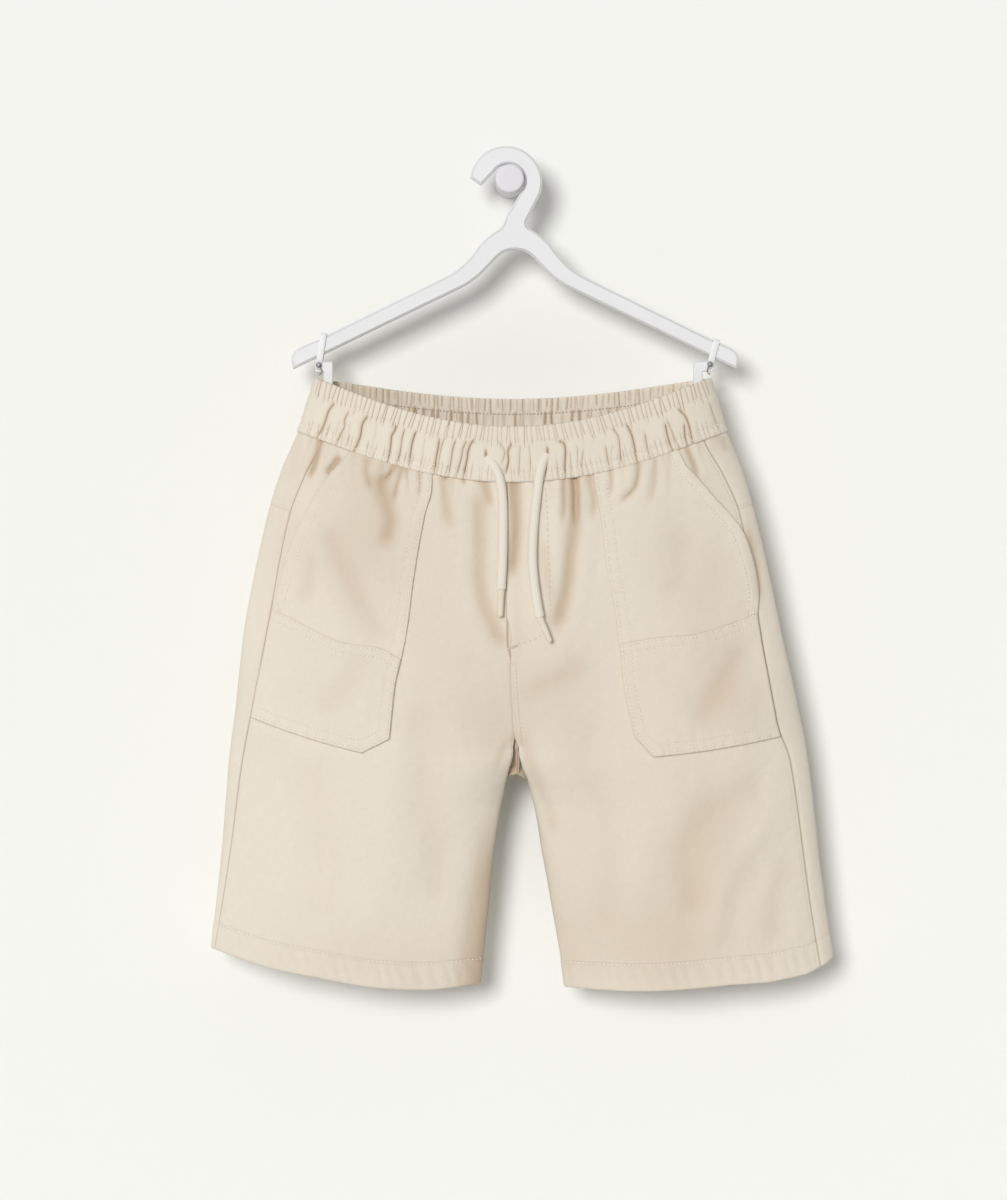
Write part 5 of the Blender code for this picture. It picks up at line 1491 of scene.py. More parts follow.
def thread_rows(name, slot, nodes, cloths, rows, seen=FROM_FRONT, long=STITCH_LONG, wide=STITCH_WIDE,
                middles_dark=0.0):
    """All the rows' stitches as one mesh: four rings of five corners each, arched over the cloth.

    corner = middle + s along + r cos(a) across + (r sin(a) + rise) out, with s, r and rise by ring. The
    ends get painted shade, where the thread goes down a needle's hole, and middles_dark says how much
    painted shade the rest gets, where a row lies deep between ruffles.
    """
    towards, from_y = seen
    middles, directions = (np.concatenate(part) for part in zip(*rows))
    graph = bpy.context.evaluated_depsgraph_get()
    trees = [BVHTree.FromObject(cloth, graph) for cloth in cloths]
    spots, out = laid_on(trees, middles, towards, from_y)
    found = ~np.isnan(spots[:, 0])
    spots, out, directions = spots[found], out[found], directions[found]
    out = out * -np.sign(towards * out[:, 1:2])
    ahead = np.stack([directions[:, 0], np.zeros(len(directions)), directions[:, 1]], axis=1)
    ahead = unit(ahead - out * np.sum(ahead * out, axis=1, keepdims=True))
    across = np.cross(out, ahead)
    angle = round_turns(CORNERS)
    s = np.array([-0.5, -0.30, 0.30, 0.5])[:, None] * long
    r = np.array([0.40, 1.0, 1.0, 0.40])[:, None] * wide / 2
    rise = np.array([-0.45, 0.35, 0.35, -0.45])[:, None] * wide / 2
    local = np.stack(np.broadcast_arrays(s, r * np.cos(angle), r * np.sin(angle) + rise), axis=-1)
    axes = np.stack([ahead, across, out], axis=1)
    points = spots[:, None] + np.einsum("ck,nkd->ncd", local.reshape(-1, 3), axes)
    ring = np.arange(RINGS * CORNERS).reshape(RINGS, CORNERS)
    base = (np.arange(len(spots)) * ring.size)[:, None, None]
    sides = (base + quads_of(ring, ring=True)[None]).reshape(-1, 4)
    caps = np.concatenate([base[..., 0] + ring[0][None], base[..., 0] + ring[-1][None, ::-1]])
    dark = np.tile(np.repeat([1.0, middles_dark, middles_dark, 1.0], CORNERS), len(spots))
    thing = make_object(name, points.reshape(-1, 3), sides[:, ::-1].tolist() + caps[:, ::-1].tolist(),
                        thread_finish, {"hole": dark})
    sewn(thing, slot, *nodes)
    print(f"  {len(spots)} stitches")


def plan_on_wall(side, line):
    """A line of (outwards, down) pairs on the front as (x, z) in the world."""
    drop, _ = front_level(side, line[:, 0], line[:, 1])
    return on_wall(level_value("centre", drop) + side * line[:, 0], line[:, 1])


def inside_of(line, distance, keep):
    """A line moved sideways towards the point keep, without the loops that its corners would make."""
    fine = by_length(line, np.linspace(0, 1, 600))
    ahead = unit(np.gradient(fine, axis=0))
    for sign in (1, -1):
        moved = fine + sign * distance * np.stack([-ahead[:, 1], ahead[:, 0]], axis=1)
        if np.linalg.norm(moved.mean(axis=0) - keep) < np.linalg.norm(fine.mean(axis=0) - keep):
            off, _, _ = beside_line(fine[::4], moved[:, 0], moved[:, 1], 2 * distance)
            return moved[np.abs(off) > 0.97 * distance]
    return fine


def level_row(side, drop_at, back=False):
    """(x, z) along a level: on the front up to the side seam, on the back up to the side fold."""
    drop = np.full(ROW_POINTS, drop_at)
    first = float(inner_turn(drop)[0])
    if back:
        turn = np.linspace(1.03 * math.pi, 2 * math.pi - first - 0.02, ROW_POINTS)
    else:
        turn = np.linspace(first, float(side_seam_turn(side, drop)[0]), ROW_POINTS)
    x, _, down = bare_point(side, drop, turn)
    return on_wall(x, down)


# %% Rows of the fronts and pockets
POCKET_ROWS, PATCH_ROWS, MOUTH_ROW = (1.8, 7.8), (1.6, 6.8), 5.8      # mm from the edge that they follow
# The fly's J: (x, down), in mm
FLY_STITCHES = ((24.5, 76), (25.9, 92), (26.8, 120), (27.8, 150), (28, 165), (26.2, 174.5), (20.5, 180.4),
                (12, 183.6), (3.5, 185.0))
for side_name, side in SIDES.items():
    pocket, plan, patch_plan = POCKETS[side_name], plans[side_name], patch_plans[side_name]
    middle = plan.mean(axis=(0, 1))
    sewn_line = inner_and_lower(plan)
    visible = plan[:, 0, 1] < pocket.patch_side * MM
    lines = [inside_of(sewn_line, gap * MM, middle) for gap in POCKET_ROWS]
    lines.append(inside_of(plan[:, 0][visible], MOUTH_ROW * MM, middle))
    lines += [inside_of(patch_plan[0], gap * MM, patch_plan.mean(axis=(0, 1))) for gap in PATCH_ROWS]
    rows = [stitches_along(plan_on_wall(side, line)) for line in lines]
    mouth_end = plan_on_wall(side, plan[:, 0][visible][-1:] - np.array([[2.2 * MM, 0.0]]))[0]
    rows += [stitches_along(level_row(side, HEM_DROP - HEM_HEIGHT)),
             bar_tack(*mouth_end, math.radians(90 - side * 8), 6 * MM)]
    thread_rows(f"thread_front_{side_name}", "cotton_pocket",
                [f"front_panel_{side_name}", f"pocket_{side_name}"],
                [fronts[side_name], pockets[side_name], patches[side_name]], rows)

fly = smooth_line(np.array(FLY_STITCHES) * MM, np.linspace(0, 1, 300))
drop = np.linspace(LAP_LIFT_END[1], FORK_DROP, 120)
seam_x, _, seam_down = bare_point(1, drop, inner_turn(drop))
fly_tack = bar_tack(1.9 * MM, WAIST_CORNER_Z - 187.5 * MM, math.radians(20), 7 * MM)
thread_rows("thread_fly", "cotton", ["front_panel_left"], list(fronts.values()),
            [stitches_along(on_wall(*fly.T), 4.0 * MM),
             stitches_along(on_wall(seam_x + 2.4 * MM, seam_down)), fly_tack], middles_dark=0.35)

# %% Rows of the waistband and the back


def band_row(at, back=False):
    """(x, z) along the band at a drop, on its front or its back."""
    rows = []
    for side in (-1, 1):
        turn = np.linspace(0.5 * math.pi, 0.97 * math.pi, ROW_POINTS)
        x, _, down = bare_point(side, np.full(ROW_POINTS, at), 2 * math.pi - turn if back else turn)
        line = on_wall(x, down)
        rows.append(line[::-1] if side < 0 else line)
    return np.concatenate(rows)


band_rows = (HEADER, BAND_DROP - ROW_ABOVE_SEAM, BAND_DROP - 1.5 * MM)
on_band = "cotton_band", ["waistband"], [waistband]
thread_rows("thread_band_front", *on_band, [stitches_along(band_row(at)) for at in band_rows])
thread_rows("thread_band_back", *on_band, [stitches_along(band_row(at, True)) for at in band_rows],
            FROM_BACK)
thread_rows("thread_band_inside", *on_band, [stitches_along(band_row(HEADER, True), 2.55 * MM)],
            FROM_MIDDLE, 1.5 * MM, 0.75 * MM, middles_dark=0.8)
back_rows = []
for side in SIDES.values():
    back_rows += [stitches_along(level_row(side, at, back=True))
                  for at in (YOKE_DROP - 1.5 * MM, YOKE_DROP - 6 * MM, HEM_DROP - HEM_HEIGHT)]
drop = np.linspace(BAND_DROP + 2 * MM, FORK_DROP - 4 * MM, 200)
x, _, down = bare_point(1, drop, 2 * math.pi - inner_turn(drop))
back_rows += [stitches_along(on_wall(x + off * MM, down)) for off in (1.6, 6.5)]
thread_rows("thread_back", "cotton",
            ["back_leg_left", "back_leg_right", "back_yoke_left", "back_yoke_right"],
            backs, back_rows, FROM_BACK)

# %% [markdown]
# ## The drawcord
#
# The cord is a braid of cream yarn, nearly round in front and flat behind, where it lies on the cloth.
# It comes out of a buttonhole in the band on each side of the fly and hangs down in front of it, to a
# flattened tip. Its line is a short list of given places; the braid is a tube round that line
# whose radius swells where two yarns cross.

# %% Drawcord
CORD_DIAMETER = 6.4 * MM
CORD_STEP = 0.4 * MM
BRAID_TURNS = 9               # yarns that run each way round the cord
BRAID_PITCH = 17 * MM         # length in which one yarn goes once round
# (x in the world, down from the waistband's corner), in mm
CORD_ROUTES = {
    "right": ((-15.8, 55.5), (-11.2, 61), (-7.4, 69), (-5.5, 79), (-4.6, 92), (-4.6, 110), (-5.0, 128),
              (-6.0, 149)),
    "left": ((26.0, 53.5), (22.8, 60), (20.4, 70), (18.6, 84), (17.1, 98), (16.0, 113), (15.8, 128),
             (17.3, 145), (19.6, 160), (21.3, 168)),
}
CORD_DEPTHS = 0.86, 0.42        # how far it bulges forward and back, over half its width
# from the front's middle sheet to the cord's line; then how much deeper it starts, and over what length
CORD_STAND = 0.9 * MM + CORD_DEPTHS[1] * CORD_DIAMETER / 2
EXIT_DEPTH, EXIT_REACH = 3.4 * MM, 12 * MM
SMOOTHED_OVER = 43            # points of the cord's line
TIP_LENGTH, TIP_WIDTH, TIP_THICK = 17 * MM, 4.2 * MM, 2.6 * MM
INTO_TIP = 2.5 * MM           # the braid's last part, which goes into the tip and narrows
TIP_TURN = {"right": math.radians(2), "left": math.radians(-24)}
TIP_TAPER = {"right": 0.08, "left": 0.30}


def frames_along(path):
    """For each point of a path: two directions across it, one square to Y, so that it doesn't twist."""
    ahead = unit(np.gradient(path, axis=0))
    across = unit(np.cross(ahead, (0.0, 1.0, 0.0)))
    return across, np.cross(across, ahead)


def tube_points(path, radius, depths=(1.0, 1.0)):
    """Rings round a path. radius is an array: a row for each point of the path, a column round it.

    depths flattens the half that faces -Y and the half that faces +Y.
    """
    across, up = frames_along(path)
    angle = round_turns(radius.shape[1])
    forward = np.sin(angle) * np.sign(up[0, 1]) < 0
    rise = np.sin(angle) * np.where(forward, *depths)
    return (path[:, None] + radius[..., None] * (across[:, None] * np.cos(angle)[None, :, None]
                                                 + up[:, None] * rise[None, :, None]))


def closed_tube(name, rings, material, fields=None):
    """A tube's rings joined by quads, with a pole at each end."""
    rows, columns = rings.shape[:2]
    number = np.arange(rows * columns).reshape(rows, columns)
    points = np.concatenate([rings.reshape(-1, 3), rings[:1].mean(axis=1), rings[-1:].mean(axis=1)])
    body = quads_of(number, ring=True)
    nexts = np.roll(number, -1, axis=1)
    first = np.stack([nexts[0], number[0], np.full(columns, rows * columns)], axis=1)
    last = np.stack([number[-1], nexts[-1], np.full(columns, rows * columns + 1)], axis=1)
    faces = body.tolist() + first[:, ::-1].tolist() + last[:, ::-1].tolist()
    spread = {}
    for field, values in (fields or {}).items():
        flat = values.reshape(rows * columns, *values.shape[2:])
        spread[field] = np.concatenate([flat, flat[:1], flat[-1:]])
    return make_object(name, points, [face[::-1] for face in faces], material, spread)


def cord_line(side_name):
    """The cord's line in world space: over the front's relief, and never behind its first point."""
    line = even_line(np.array(CORD_ROUTES[side_name]) * MM, CORD_STEP)
    offset = line[:, 0] - level_value("centre", line[:, 1] * 0.85)
    side = np.where(offset >= 0, 1, -1)
    y = np.zeros(len(line))
    for which in (1, -1):
        drop, turn = front_level(which, np.abs(offset), line[:, 1])
        y = np.where(side == which, bare_point(which, drop, turn)[1], y)
    y = y - CORD_STAND
    settle = smooth_step(np.arange(len(y)) * CORD_STEP, 0, EXIT_REACH)
    y = y[0] + EXIT_DEPTH * (1 - settle) + (np.minimum(y, y[0]) - y[0]) * settle
    kernel = np.hanning(SMOOTHED_OVER)
    y = np.convolve(np.pad(y, SMOOTHED_OVER // 2, mode="edge"), kernel / kernel.sum(), mode="valid")
    return np.stack([line[:, 0], y, WAIST_CORNER_Z - line[:, 1]], axis=1)


cord_finish, cord_shader, start = new_finish(
    "braided_cord", 0.8, {"Sheen Weight": 0.15, "Specular IOR Level": 0.3})
place = start.field("braid", "Vector")
yarn = place.noise(1400.0, 3.0, 0.6)
valley = place.part("Z")
strands = ((place.part("X") * 900.0 + place.part("Y") * 1400.0) * (2 * math.pi)).sine()
connect(cord_shader, "Normal", bumped(yarn * 0.10 + strands * 0.03, start))
# painted shade in the braid's valleys, where the third part of "braid" is low, mixed with a random tone of
# the yarn
connect(cord_shader, "Base Color", mixed(((1.0 - valley) * 0.55 + (yarn - 0.5) * 0.4).clipped(),
                                         (0.90, 0.845, 0.745), (0.60, 0.50, 0.385)))
tip_finish, tip_shader, start = new_finish("dipped_tip", 0.5, {"Specular IOR Level": 0.4})
place = start.field("braid", "Vector")
connect(tip_shader, "Normal", bumped(place.noise(500.0, 2.0) * 0.25, start))
connect(tip_shader, "Base Color",
        mixed(place.noise(260.0, 2.0).clipped(), (0.80, 0.72, 0.59), (0.72, 0.63, 0.50)))


def braid_places(turned, down, lift):
    """Where a point lies on the braid: round it, along it, and how high between the valleys."""
    return {"braid": np.stack(np.broadcast_arrays(turned, down[:, None], lift), axis=-1)}


for side_name in SIDES:
    path = cord_line(side_name)
    length = lengths_along(path)
    angle = round_turns(72)
    climb = 2 * math.pi * length[:, None] / BRAID_PITCH
    swell = 0.5 + 0.25 * (np.cos(BRAID_TURNS * (angle + climb)) + np.cos(BRAID_TURNS * (angle - climb)))
    end = 1 - 0.55 * smooth_step(length, length[-1] - INTO_TIP, length[-1])[:, None]
    radius = 1.05 * CORD_DIAMETER / 2 * (0.93 + 0.07 * swell) * end
    cord = closed_tube(f"drawcord_braid_{side_name}", tube_points(path, radius, CORD_DEPTHS), cord_finish,
                       braid_places(angle * CORD_DIAMETER / 2, length, swell ** 0.6))
    sewn(cord, "cord_cotton", f"drawcord_{side_name}")

    lean = TIP_TURN[side_name]
    t = np.linspace(0, 1, 26)
    ahead = np.array([-math.sin(lean), 0.0, -math.cos(lean)])
    tip_path = path[-1] + ahead * (t[:, None] * (TIP_LENGTH + INTO_TIP) - 2.0 * MM)
    round_end = np.sqrt(np.clip(1 - ((t - 0.93) / 0.07).clip(0, 1) ** 2, 0.03, 1))
    start_end = 0.75 + 0.25 * smooth_step(t, 0.0, 0.12)
    taper = 1.0 - TIP_TAPER[side_name] * smooth_step(t, 0.45, 1.0)
    width = TIP_WIDTH / 2 * (1.06 + 0.20 * (1 - smooth_step(t, 0.0, 0.3)))
    turned = round_turns(24)
    flat = 1 / np.sqrt(np.cos(turned) ** 2 + (np.sin(turned) * TIP_WIDTH / TIP_THICK) ** 2)
    size = (width * taper * start_end * round_end)[:, None] * flat
    tip = closed_tube(f"drawcord_dip_{side_name}", tube_points(tip_path, size), tip_finish,
                      braid_places(turned * 2 * MM, t * TIP_LENGTH, 0.85))
    sewn(tip, "cord_tip", f"drawcord_tip_{side_name}")
    print(f"drawcord {side_name}: {length[-1] / MM:.0f} mm hangs free")

# %% [markdown]
# ## The hanger and its peg
#
# The hanger is one flat white moulding with its hook, and its edges are a little rounded. Its outline
# is drawn with arcs and short curves, then carried through the thickness: a quarter round at the
# front edge, the flat side and a quarter round at the back.

# %% Hanger
HANGER_THICK = 9 * MM
HANGER_Y = -40.5 * MM
HANGER_MID_X = 3.8 * MM
HOOK_CENTRE, HOOK_RADIUS = (-2.5 * MM, -2.1 * MM), 25.3 * MM
EYE_CENTRE, EYE_RADIUS = (-1.05 * MM, -1.05 * MM), 11.8 * MM
ARM_SLOPE = math.radians(26.2)
HANGER_ROUND, ROUND_STEPS = 1.3 * MM, 5


def arc(centre, radius, start, end, count):
    """Points on an arc between two angles in degrees."""
    angle = np.radians(np.linspace(start, end, count))
    return np.stack([centre[0] + radius * np.cos(angle), centre[1] + radius * np.sin(angle)], axis=1)


def shoulder(points, sign, count):
    """One shoulder's outline through its points, given outwards from the hanger's middle, in mm."""
    line = smooth_line(np.array(points) * MM, np.linspace(0.0, 1.0, count))
    return np.stack([HANGER_MID_X + sign * line[:, 0], line[:, 1]], axis=1)


# One side's three curves and the points that each is read at: from the neck to the arm, round the
# arm's tip, and from under the arm to the arch's middle. (outwards, up from the peg's axis), in mm
SHOULDER_CURVES = (
    (((11, -35), (17.5, -39.5), (24, -45.3), (29.8, -53), (36.5, -60.2), (43, -65.4), (50, -69.3)), 37),
    (((137, -112), (149, -117.2), (154.6, -121), (156.6, -126.5), (155.4, -133)), 25),
    (((45, -79.5), (34.5, -74.2), (25.8, -68), (18.7, -61), (12.4, -54.4), (6.6, -50.5), (0.0, -49.2)), 37),
)


def hanger_outline():
    """The plate's outline: the hook, the notch, both arms, the neck and the hook's inner edge."""
    hook_outer = arc(HOOK_CENTRE, HOOK_RADIUS, 173, -22, 64)
    notch = arc((16.0 * MM, -30.8 * MM), 4.4 * MM, 155, 225, 9)
    left = [shoulder(points, 1, count) for points, count in SHOULDER_CURVES]
    right = [shoulder(points, -1, count)[::-1] for points, count in SHOULDER_CURVES[::-1]]
    neck = np.array([(-4.2, -31.5), (-2.0, -25.0), (1.6, -19.8)]) * MM
    eye = arc(EYE_CENTRE, EYE_RADIUS, -40, 141, 54)
    end_corner = np.array([(-20.0, -4.3)]) * MM
    return np.concatenate([hook_outer, notch, *left, right[0][1:], *right[1:], neck, eye, end_corner])


def evenly_round(outline, step):
    """A closed outline read every step along its length."""
    closed = np.concatenate([outline, outline[:1]])
    whole = lengths_along(closed)[-1]
    return read_line(closed, np.linspace(0, whole, round(whole / step) + 1)[:-1])


def fill_outline(outline):
    """Triangles over the inside of a closed outline, by the numbers of its points, facing -Y."""
    count = len(outline)
    around = [(k, (k + 1) % count) for k in range(count)]
    found = delaunay_2d_cdt([tuple(spot) for spot in outline.tolist()], around, [], 1, 1e-7)
    spots = np.array([tuple(spot) for spot in found[0]])
    number = np.argmin(((spots[:, None] - outline[None]) ** 2).sum(axis=-1), axis=1)
    triangles = number[np.array(found[2])]
    a, b, c = (outline[triangles[:, k]] for k in range(3))
    turn = (b[:, 0] - a[:, 0]) * (c[:, 1] - a[:, 1]) - (b[:, 1] - a[:, 1]) * (c[:, 0] - a[:, 0])
    return np.where(turn[:, None] > 0, triangles, triangles[:, ::-1])


def rounded_plate(name, outline, thick, rounding, middle_y, material):
    """A plate standing in the X-Z plane: its outline carried round a profile with quarter-round edges.

    Each ring lies inwards from the outline by rounding (1 - sin a), at a depth of thick / 2 -
    rounding (1 - cos a) on the front's side or the back's, for a from 0 to 90 degrees.
    """
    after, before = np.roll(outline, -1, axis=0), np.roll(outline, 1, axis=0)
    ahead = unit(after - before)
    area = np.sum(outline[:, 0] * after[:, 1] - outline[:, 1] * after[:, 0])
    inwards = np.stack([-ahead[:, 1], ahead[:, 0]], axis=1) * np.sign(area)
    a = np.linspace(0, math.pi / 2, ROUND_STEPS)
    inset = rounding * (1 - np.sin(a))
    half = thick / 2 - rounding * (1 - np.cos(a))
    inset, depth = np.concatenate([inset, inset[::-1]]), np.concatenate([-half, half[::-1]])
    flat = outline + inwards * inset[:, None, None]
    y = np.broadcast_to(middle_y + depth[:, None], flat.shape[:2])
    rings = np.stack([flat[..., 0], y, flat[..., 1]], axis=-1)
    number = np.arange(y.size).reshape(y.shape)
    sides = quads_of(number, ring=True)
    order = 1 if area < 0 else -1
    inside = fill_outline(flat[0])
    faces = [face[::order] for face in sides.tolist()]
    faces += inside.tolist() + (inside[:, ::-1] + number[-1, 0]).tolist()
    thing = make_object(name, rings.reshape(-1, 3), faces, material)
    thing.data.polygons.foreach_set("use_smooth", np.arange(len(faces)) < len(sides))
    return thing


def satin_white(name, colour, roughness, grain):
    """A white moulding: faint cloudiness in colour and gloss, and a fine orange-peel grain."""
    material, shader, start = new_finish(name, roughness, {"Specular IOR Level": 0.45})
    cloud = start.noise(35.0, 3.0)
    connect(shader, "Base Color", mixed(cloud.clipped(), tuple(c * 1.015 for c in colour),
                                        tuple(c * 0.975 for c in colour)))
    connect(shader, "Roughness", cloud * 0.12 + (roughness - 0.06))
    connect(shader, "Normal", bumped(start.noise(900.0, 2.0) * grain, start))
    return material


white_moulding = satin_white("white_moulding", (0.775, 0.775, 0.78), 0.42, 0.02)
hanger = rounded_plate("hanger_moulding", evenly_round(hanger_outline(), 1.6 * MM), HANGER_THICK,
                       HANGER_ROUND, HANGER_Y, white_moulding)
sewn(hanger, "white_paint", "hanger")

# %% Wall peg
PEG_RADIUS, PEG_LENGTH, PEG_ROUND = 10 * MM, 52 * MM, 1.2 * MM


def turned_piece(name, profile, material, columns=72):
    """A profile of (radius, y) pairs turned about the Y axis, closed by a pole at each end."""
    angle = round_turns(columns)
    radius, y = profile[:, :1], profile[:, 1:]
    rings = np.stack(np.broadcast_arrays(radius * np.cos(angle), y, radius * np.sin(angle)), axis=-1)
    return closed_tube(name, rings, material)


corner = np.linspace(0, math.pi / 2, 7)[1:]
peg_profile = np.concatenate([
    [[3 * MM, 0.0], [PEG_RADIUS, 0.0]],
    [[PEG_RADIUS, y] for y in np.linspace(-1 * MM, PEG_ROUND - PEG_LENGTH, 14)],
    np.stack([PEG_RADIUS - PEG_ROUND + PEG_ROUND * np.cos(corner),
              PEG_ROUND - PEG_LENGTH - PEG_ROUND * np.sin(corner)], axis=1),
    [[6 * MM, -PEG_LENGTH], [2 * MM, -PEG_LENGTH]]])
peg_finish = satin_white("painted_peg", (0.73, 0.715, 0.745), 0.5, 0.03)
peg = turned_piece("peg_turned", peg_profile, peg_finish)
sewn(peg, "white_paint", "wall_peg")

# %% [markdown]
# ## Straps, tabs and pins
#
# A short plastic strap goes round each arm of the hanger and ends in a small metal pin, which holds a
# flat tab that sits inside the waistband's corner. Each is a narrow ribbon or plate with soft edges.

# %% Straps and clips
STRAP_WIDTH, STRAP_THICK, STRAP_TAIL, STRAP_BEND = 4.5 * MM, 1.0 * MM, 6.5 * MM, 1.6 * MM
STRAP_X = {"right": -131.5 * MM, "left": 143.3 * MM}
STRAP_LEAN = {"right": math.radians(9), "left": math.radians(16)}
TAB_WIDTH, TAB_INSET, TAB_THICK, TAB_EAR = 6.6 * MM, 5.8 * MM, 2.0 * MM, 2.5 * MM
TAB_TOP_Z, TAB_BOTTOM_Z = -127.8 * MM, -158 * MM
PIN_RADIUS = 1.9 * MM
LINK_RADIUS = 0.42 * MM
# The link between pin and tab: (inwards, up) from the pin's middle, in mm
LINK_LINE = ((0.4, -1.2), (1.6, -2.8), (2.1, -4.6), (1.3, -6.2), (0.1, -7.2))
TOUCH = 0.3 * MM


def straight(x, first, last):
    """Height at x of the straight line through two points, in mm, as metres."""
    return (first[1] + (x - first[0]) * (last[1] - first[1]) / (last[0] - first[0])) * MM


def arm_middle(x):
    """Height and depth of the hanger's arm at x: its middle on Z and its depth square to its slope."""
    (neck, _), (tip, _), (arch, _) = SHOULDER_CURVES
    outwards = abs(x - HANGER_MID_X) / MM
    top, under = straight(outwards, neck[-1], tip[0]), straight(outwards, arch[0], tip[-1])
    return (top + under) / 2, (top - under) * math.cos(ARM_SLOPE)


def ribbon(name, line, wide, thick, across, material):
    """A flat ribbon with soft edges carried along a line. across is the direction of its width.

    Section: a superellipse, |a / wide|^4 + |b / thick|^4 = 1 in half sizes.
    """
    up = unit(np.cross(across, np.gradient(line, axis=0)))
    t = round_turns(20)
    a, b = (np.sign(part) * np.abs(part) ** 0.5 * size / 2
            for part, size in ((np.cos(t), wide), (np.sin(t), thick)))
    ends = np.ones((len(line), 1, 1))
    ends[[0, -1]] = 0.7
    section = across * a[:, None] + up[:, None] * b[:, None]
    return closed_tube(name, line[:, None] + section * ends, material)


def strap_bend(centre, first, second):
    """Five points round one bend of a strap: centre + r (first cos t + second sin t)."""
    t = np.linspace(0.2, 1.4, 5)[:, None]
    return np.array(centre) + STRAP_BEND * (np.cos(t) * np.array(first) + np.sin(t) * np.array(second))


clear_white = satin_white("white_plastic", (0.80, 0.81, 0.80), 0.38, 0.02)
pin_metal, pin_shader, start = new_finish("pin_steel", 0.55, {"Metallic": 1.0})
scratch = start.noise(700.0, 3.0, 0.6)
connect(pin_shader, "Base Color", mixed(scratch.clipped(), (0.36, 0.36, 0.37), (0.24, 0.24, 0.25)))
connect(pin_shader, "Roughness", scratch * 0.3 + 0.40)
head = np.linspace(0, math.pi / 2, 6)[:-1]
pin_profile = np.concatenate([
    [[0.6 * MM, 0.6 * MM], [PIN_RADIUS * 0.96, 0.6 * MM], [PIN_RADIUS, -0.5 * MM]],
    np.stack([PIN_RADIUS * np.cos(head) ** 0.6, -0.7 * MM - 1.0 * MM * np.sin(head)], axis=1)])

for side_name, side in SIDES.items():
    x = STRAP_X[side_name]
    middle_z, arm_depth = arm_middle(x)
    lean = STRAP_LEAN[side_name]
    askew = abs(side * ARM_SLOPE - lean)
    half_y = HANGER_THICK / 2 + TOUCH + STRAP_THICK / 2
    half_z = (arm_depth / 2 / math.cos(askew) + STRAP_WIDTH / 2 * math.tan(askew)
              + 2 * TOUCH + STRAP_THICK / 2)
    tail = half_z + STRAP_THICK / 2 + STRAP_TAIL
    side_y, side_z = half_y - STRAP_BEND, half_z - STRAP_BEND
    # the loop's first number runs along Y, its second up the strap's own lean
    loop = np.concatenate([
        [(-half_y, -tail), (-half_y, -half_z), (-half_y, side_z)],
        strap_bend((-side_y, side_z), (-1, 0), (0, 1)),
        [(-side_y, half_z), (0, half_z), (side_y, half_z)],
        strap_bend((side_y, side_z), (0, 1), (1, 0)),
        [(half_y, side_z), (half_y, 0), (half_y, -side_z)],
        strap_bend((side_y, -side_z), (1, 0), (0, -1)),
        [(side_y, -half_z), (0, -half_z), (-half_y + STRAP_THICK, -half_z)]])
    upwards = np.array([math.sin(lean), 0.0, math.cos(lean)])
    line = np.array([x, HANGER_Y, middle_z]) + loop @ np.array([(0.0, 1.0, 0.0), upwards])
    strap = ribbon(f"strap_ribbon_{side_name}", line, STRAP_WIDTH, STRAP_THICK,
                   np.array([math.cos(lean), 0.0, -math.sin(lean)]), clear_white)
    sewn(strap, "white_plastic", f"strap_{side_name}")

    pin_at = (np.array([x, HANGER_Y - half_y - STRAP_THICK / 2, middle_z])
              - upwards * (tail - PIN_RADIUS - 1.2 * MM))
    pin = turned_piece(f"pin_head_{side_name}", pin_profile, pin_metal, 32)
    points = np.array([v.co for v in pin.data.vertices]) + pin_at
    pin.data.vertices.foreach_set("co", points.ravel())
    sewn(pin, "steel", f"clip_pin_{side_name}")
    wire = smooth_line(np.array(LINK_LINE) * MM, np.linspace(0, 1, 24))
    wire = pin_at + np.stack([wire[:, 0] * -side, np.full(24, -0.6 * MM), wire[:, 1]], axis=1)
    link = closed_tube(f"pin_link_{side_name}", tube_points(wire, np.full((24, 8), LINK_RADIUS)), pin_metal)
    sewn(link, "steel", f"clip_pin_{side_name}")

    fold_x = LEVELS[0].centre * MM + side * LEVELS[0].half * MM
    outer_x = fold_x - side * TAB_INSET
    inner_x = outer_x - side * TAB_WIDTH
    ear_x, ear_z = pin_at[0] + side * TAB_EAR, pin_at[2] - 2 * TAB_EAR
    outline = np.array([(inner_x, TAB_TOP_Z), (ear_x, TAB_TOP_Z), (ear_x, ear_z), (outer_x, ear_z),
                        (outer_x, TAB_BOTTOM_Z), (inner_x, TAB_BOTTOM_Z)])
    tab = rounded_plate(f"tab_plate_{side_name}", evenly_round(outline, 0.6 * MM), TAB_THICK, 0.5 * MM,
                        pin_at[1] + STRAP_THICK + TOUCH + TAB_THICK / 2, clear_white)
    sewn(tab, "white_plastic", f"clip_tab_{side_name}")

# %% [markdown]
# ## Wall, floor and light
#
# The wall stands right behind the peg, so the shorts throw a soft shadow on it. Light comes from the
# upper left and front, wide and soft, with an even fill from all round, and a weak lamp behind lights
# the back. The wall and the floor show only from their front side, so a look from behind or below still
# sees the shorts. They are one plain colour with a weak even glow, and let part of the light from
# behind through.

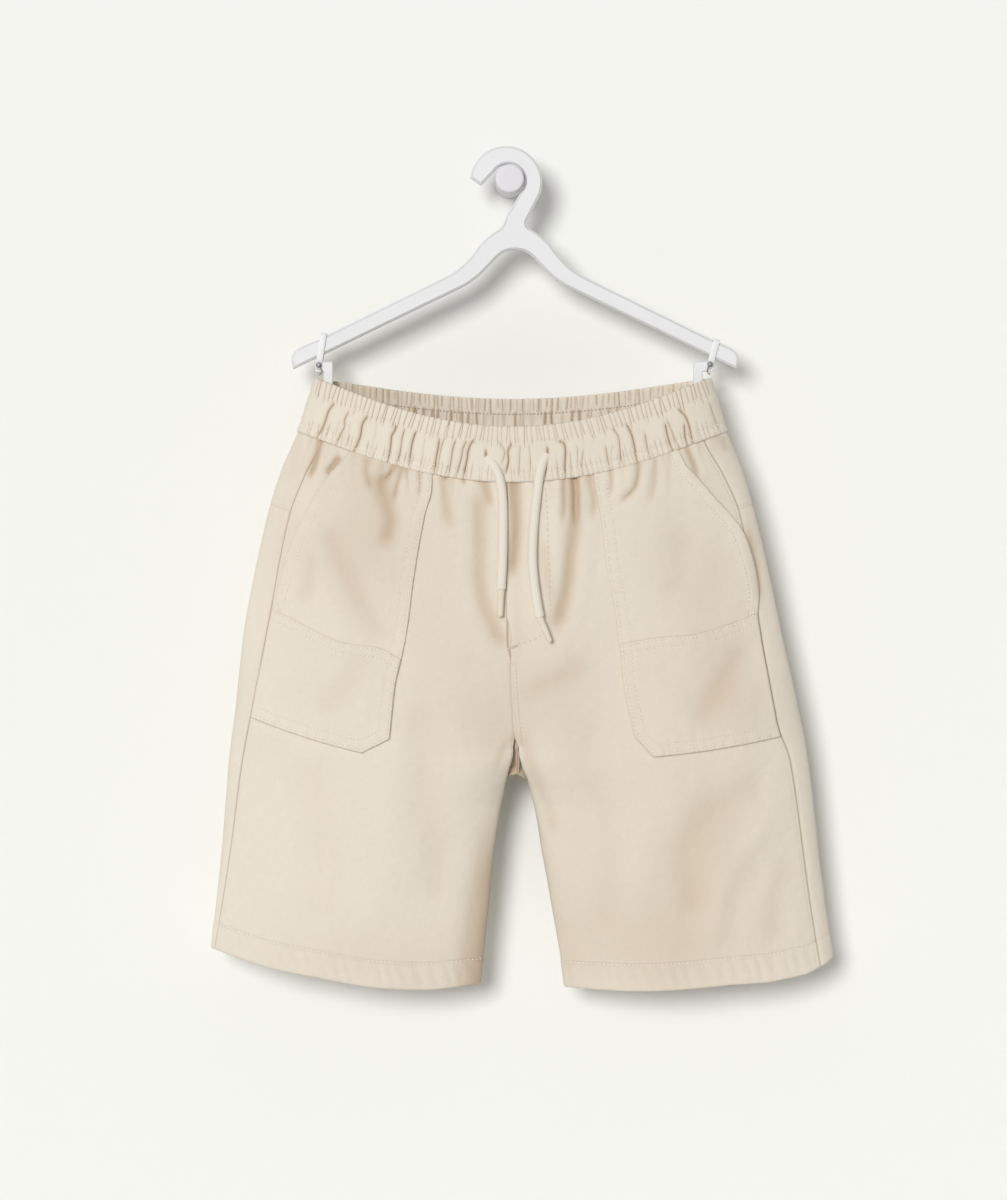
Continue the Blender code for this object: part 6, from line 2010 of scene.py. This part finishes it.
# %% Stage
PAPER = (0.885, 0.885, 0.854)
GLOW = (0.02, 0.02, 0.0195)             # what lamps behind the scene add to the wall
WALL_Y, WALL_HALF, WALL_TOP = 0.6 * MM, 2.6, 2.2
FLOOR_Z, FLOOR_DEPTH = -2.2, 2.4
KEY_FROM = (-0.27, -0.942, 0.20)        # towards the lamp
KEY_STRENGTH, KEY_WIDTH = 2.02, math.radians(21)
BACK_FROM = (0.45, 0.88, 0.08)
BACK_STRENGTH, BACK_WIDTH = 0.4, math.radians(50)
FILL_STRENGTH, FILL_COLOUR = 0.375, (0.99, 0.985, 0.98)
LEAK = 0.3                              # how much of the light from behind the wall reaches the back


def one_sided(name, colour):
    """Matt paint seen from the front only: see-through from behind and for the lamps' own rays."""
    material, shader, start = new_finish(name, 0.95, {"Specular IOR Level": 0.1})
    shader.inputs["Base Color"].default_value = (*colour, 1.0)
    shader.inputs["Emission Color"].default_value = (*GLOW, 1.0)
    shader.inputs["Emission Strength"].default_value = 1.0
    behind = start.add("ShaderNodeNewGeometry", out="Backfacing")
    shadow = start.add("ShaderNodeLightPath", out="Is Shadow Ray")
    hide = behind.combine("MAXIMUM", behind, shadow * LEAK)
    clear = start.add("ShaderNodeBsdfTransparent")
    both = start.add("ShaderNodeMixShader", {}, {0: hide, 1: Wire(start.tree, shader.outputs[0]), 2: clear})
    start.tree.links.new(both.socket, start.tree.nodes["Material Output"].inputs["Surface"])
    return material


def stage_plane(name, corners, material):
    plane = make_object(name, np.array(corners, float), [[0, 1, 2, 3]], material, smooth=False)
    return plane


wall_paint = one_sided("wall_paint", PAPER)
stage_plane("wall", [(-WALL_HALF, WALL_Y, FLOOR_Z), (WALL_HALF, WALL_Y, FLOOR_Z),
                     (WALL_HALF, WALL_Y, WALL_TOP), (-WALL_HALF, WALL_Y, WALL_TOP)], wall_paint)
stage_plane("floor", [(-WALL_HALF, -FLOOR_DEPTH, FLOOR_Z), (WALL_HALF, -FLOOR_DEPTH, FLOOR_Z),
                      (WALL_HALF, WALL_Y, FLOOR_Z), (-WALL_HALF, WALL_Y, FLOOR_Z)], wall_paint)


def sun(name, towards, strength, width):
    """A far lamp, square to the direction that it shines from."""
    lamp = bpy.data.lights.new(name, "SUN")
    lamp.energy, lamp.angle = strength, width
    thing = bpy.data.objects.new(name, lamp)
    bpy.context.scene.collection.objects.link(thing)
    thing.rotation_euler = Vector(towards).to_track_quat("Z", "Y").to_euler()


sun("key", KEY_FROM, KEY_STRENGTH, KEY_WIDTH)
sun("back_fill", BACK_FROM, BACK_STRENGTH, BACK_WIDTH)

world = bpy.data.worlds.new("studio")
bpy.context.scene.world = world
world.use_nodes = True
sky = world.node_tree.nodes["Background"]
sky.inputs["Color"].default_value = (*FILL_COLOUR, 1.0)
sky.inputs["Strength"].default_value = FILL_STRENGTH
bpy.context.scene.view_settings.view_transform = "Standard"

# %% Update the scene
bpy.context.view_layer.update()
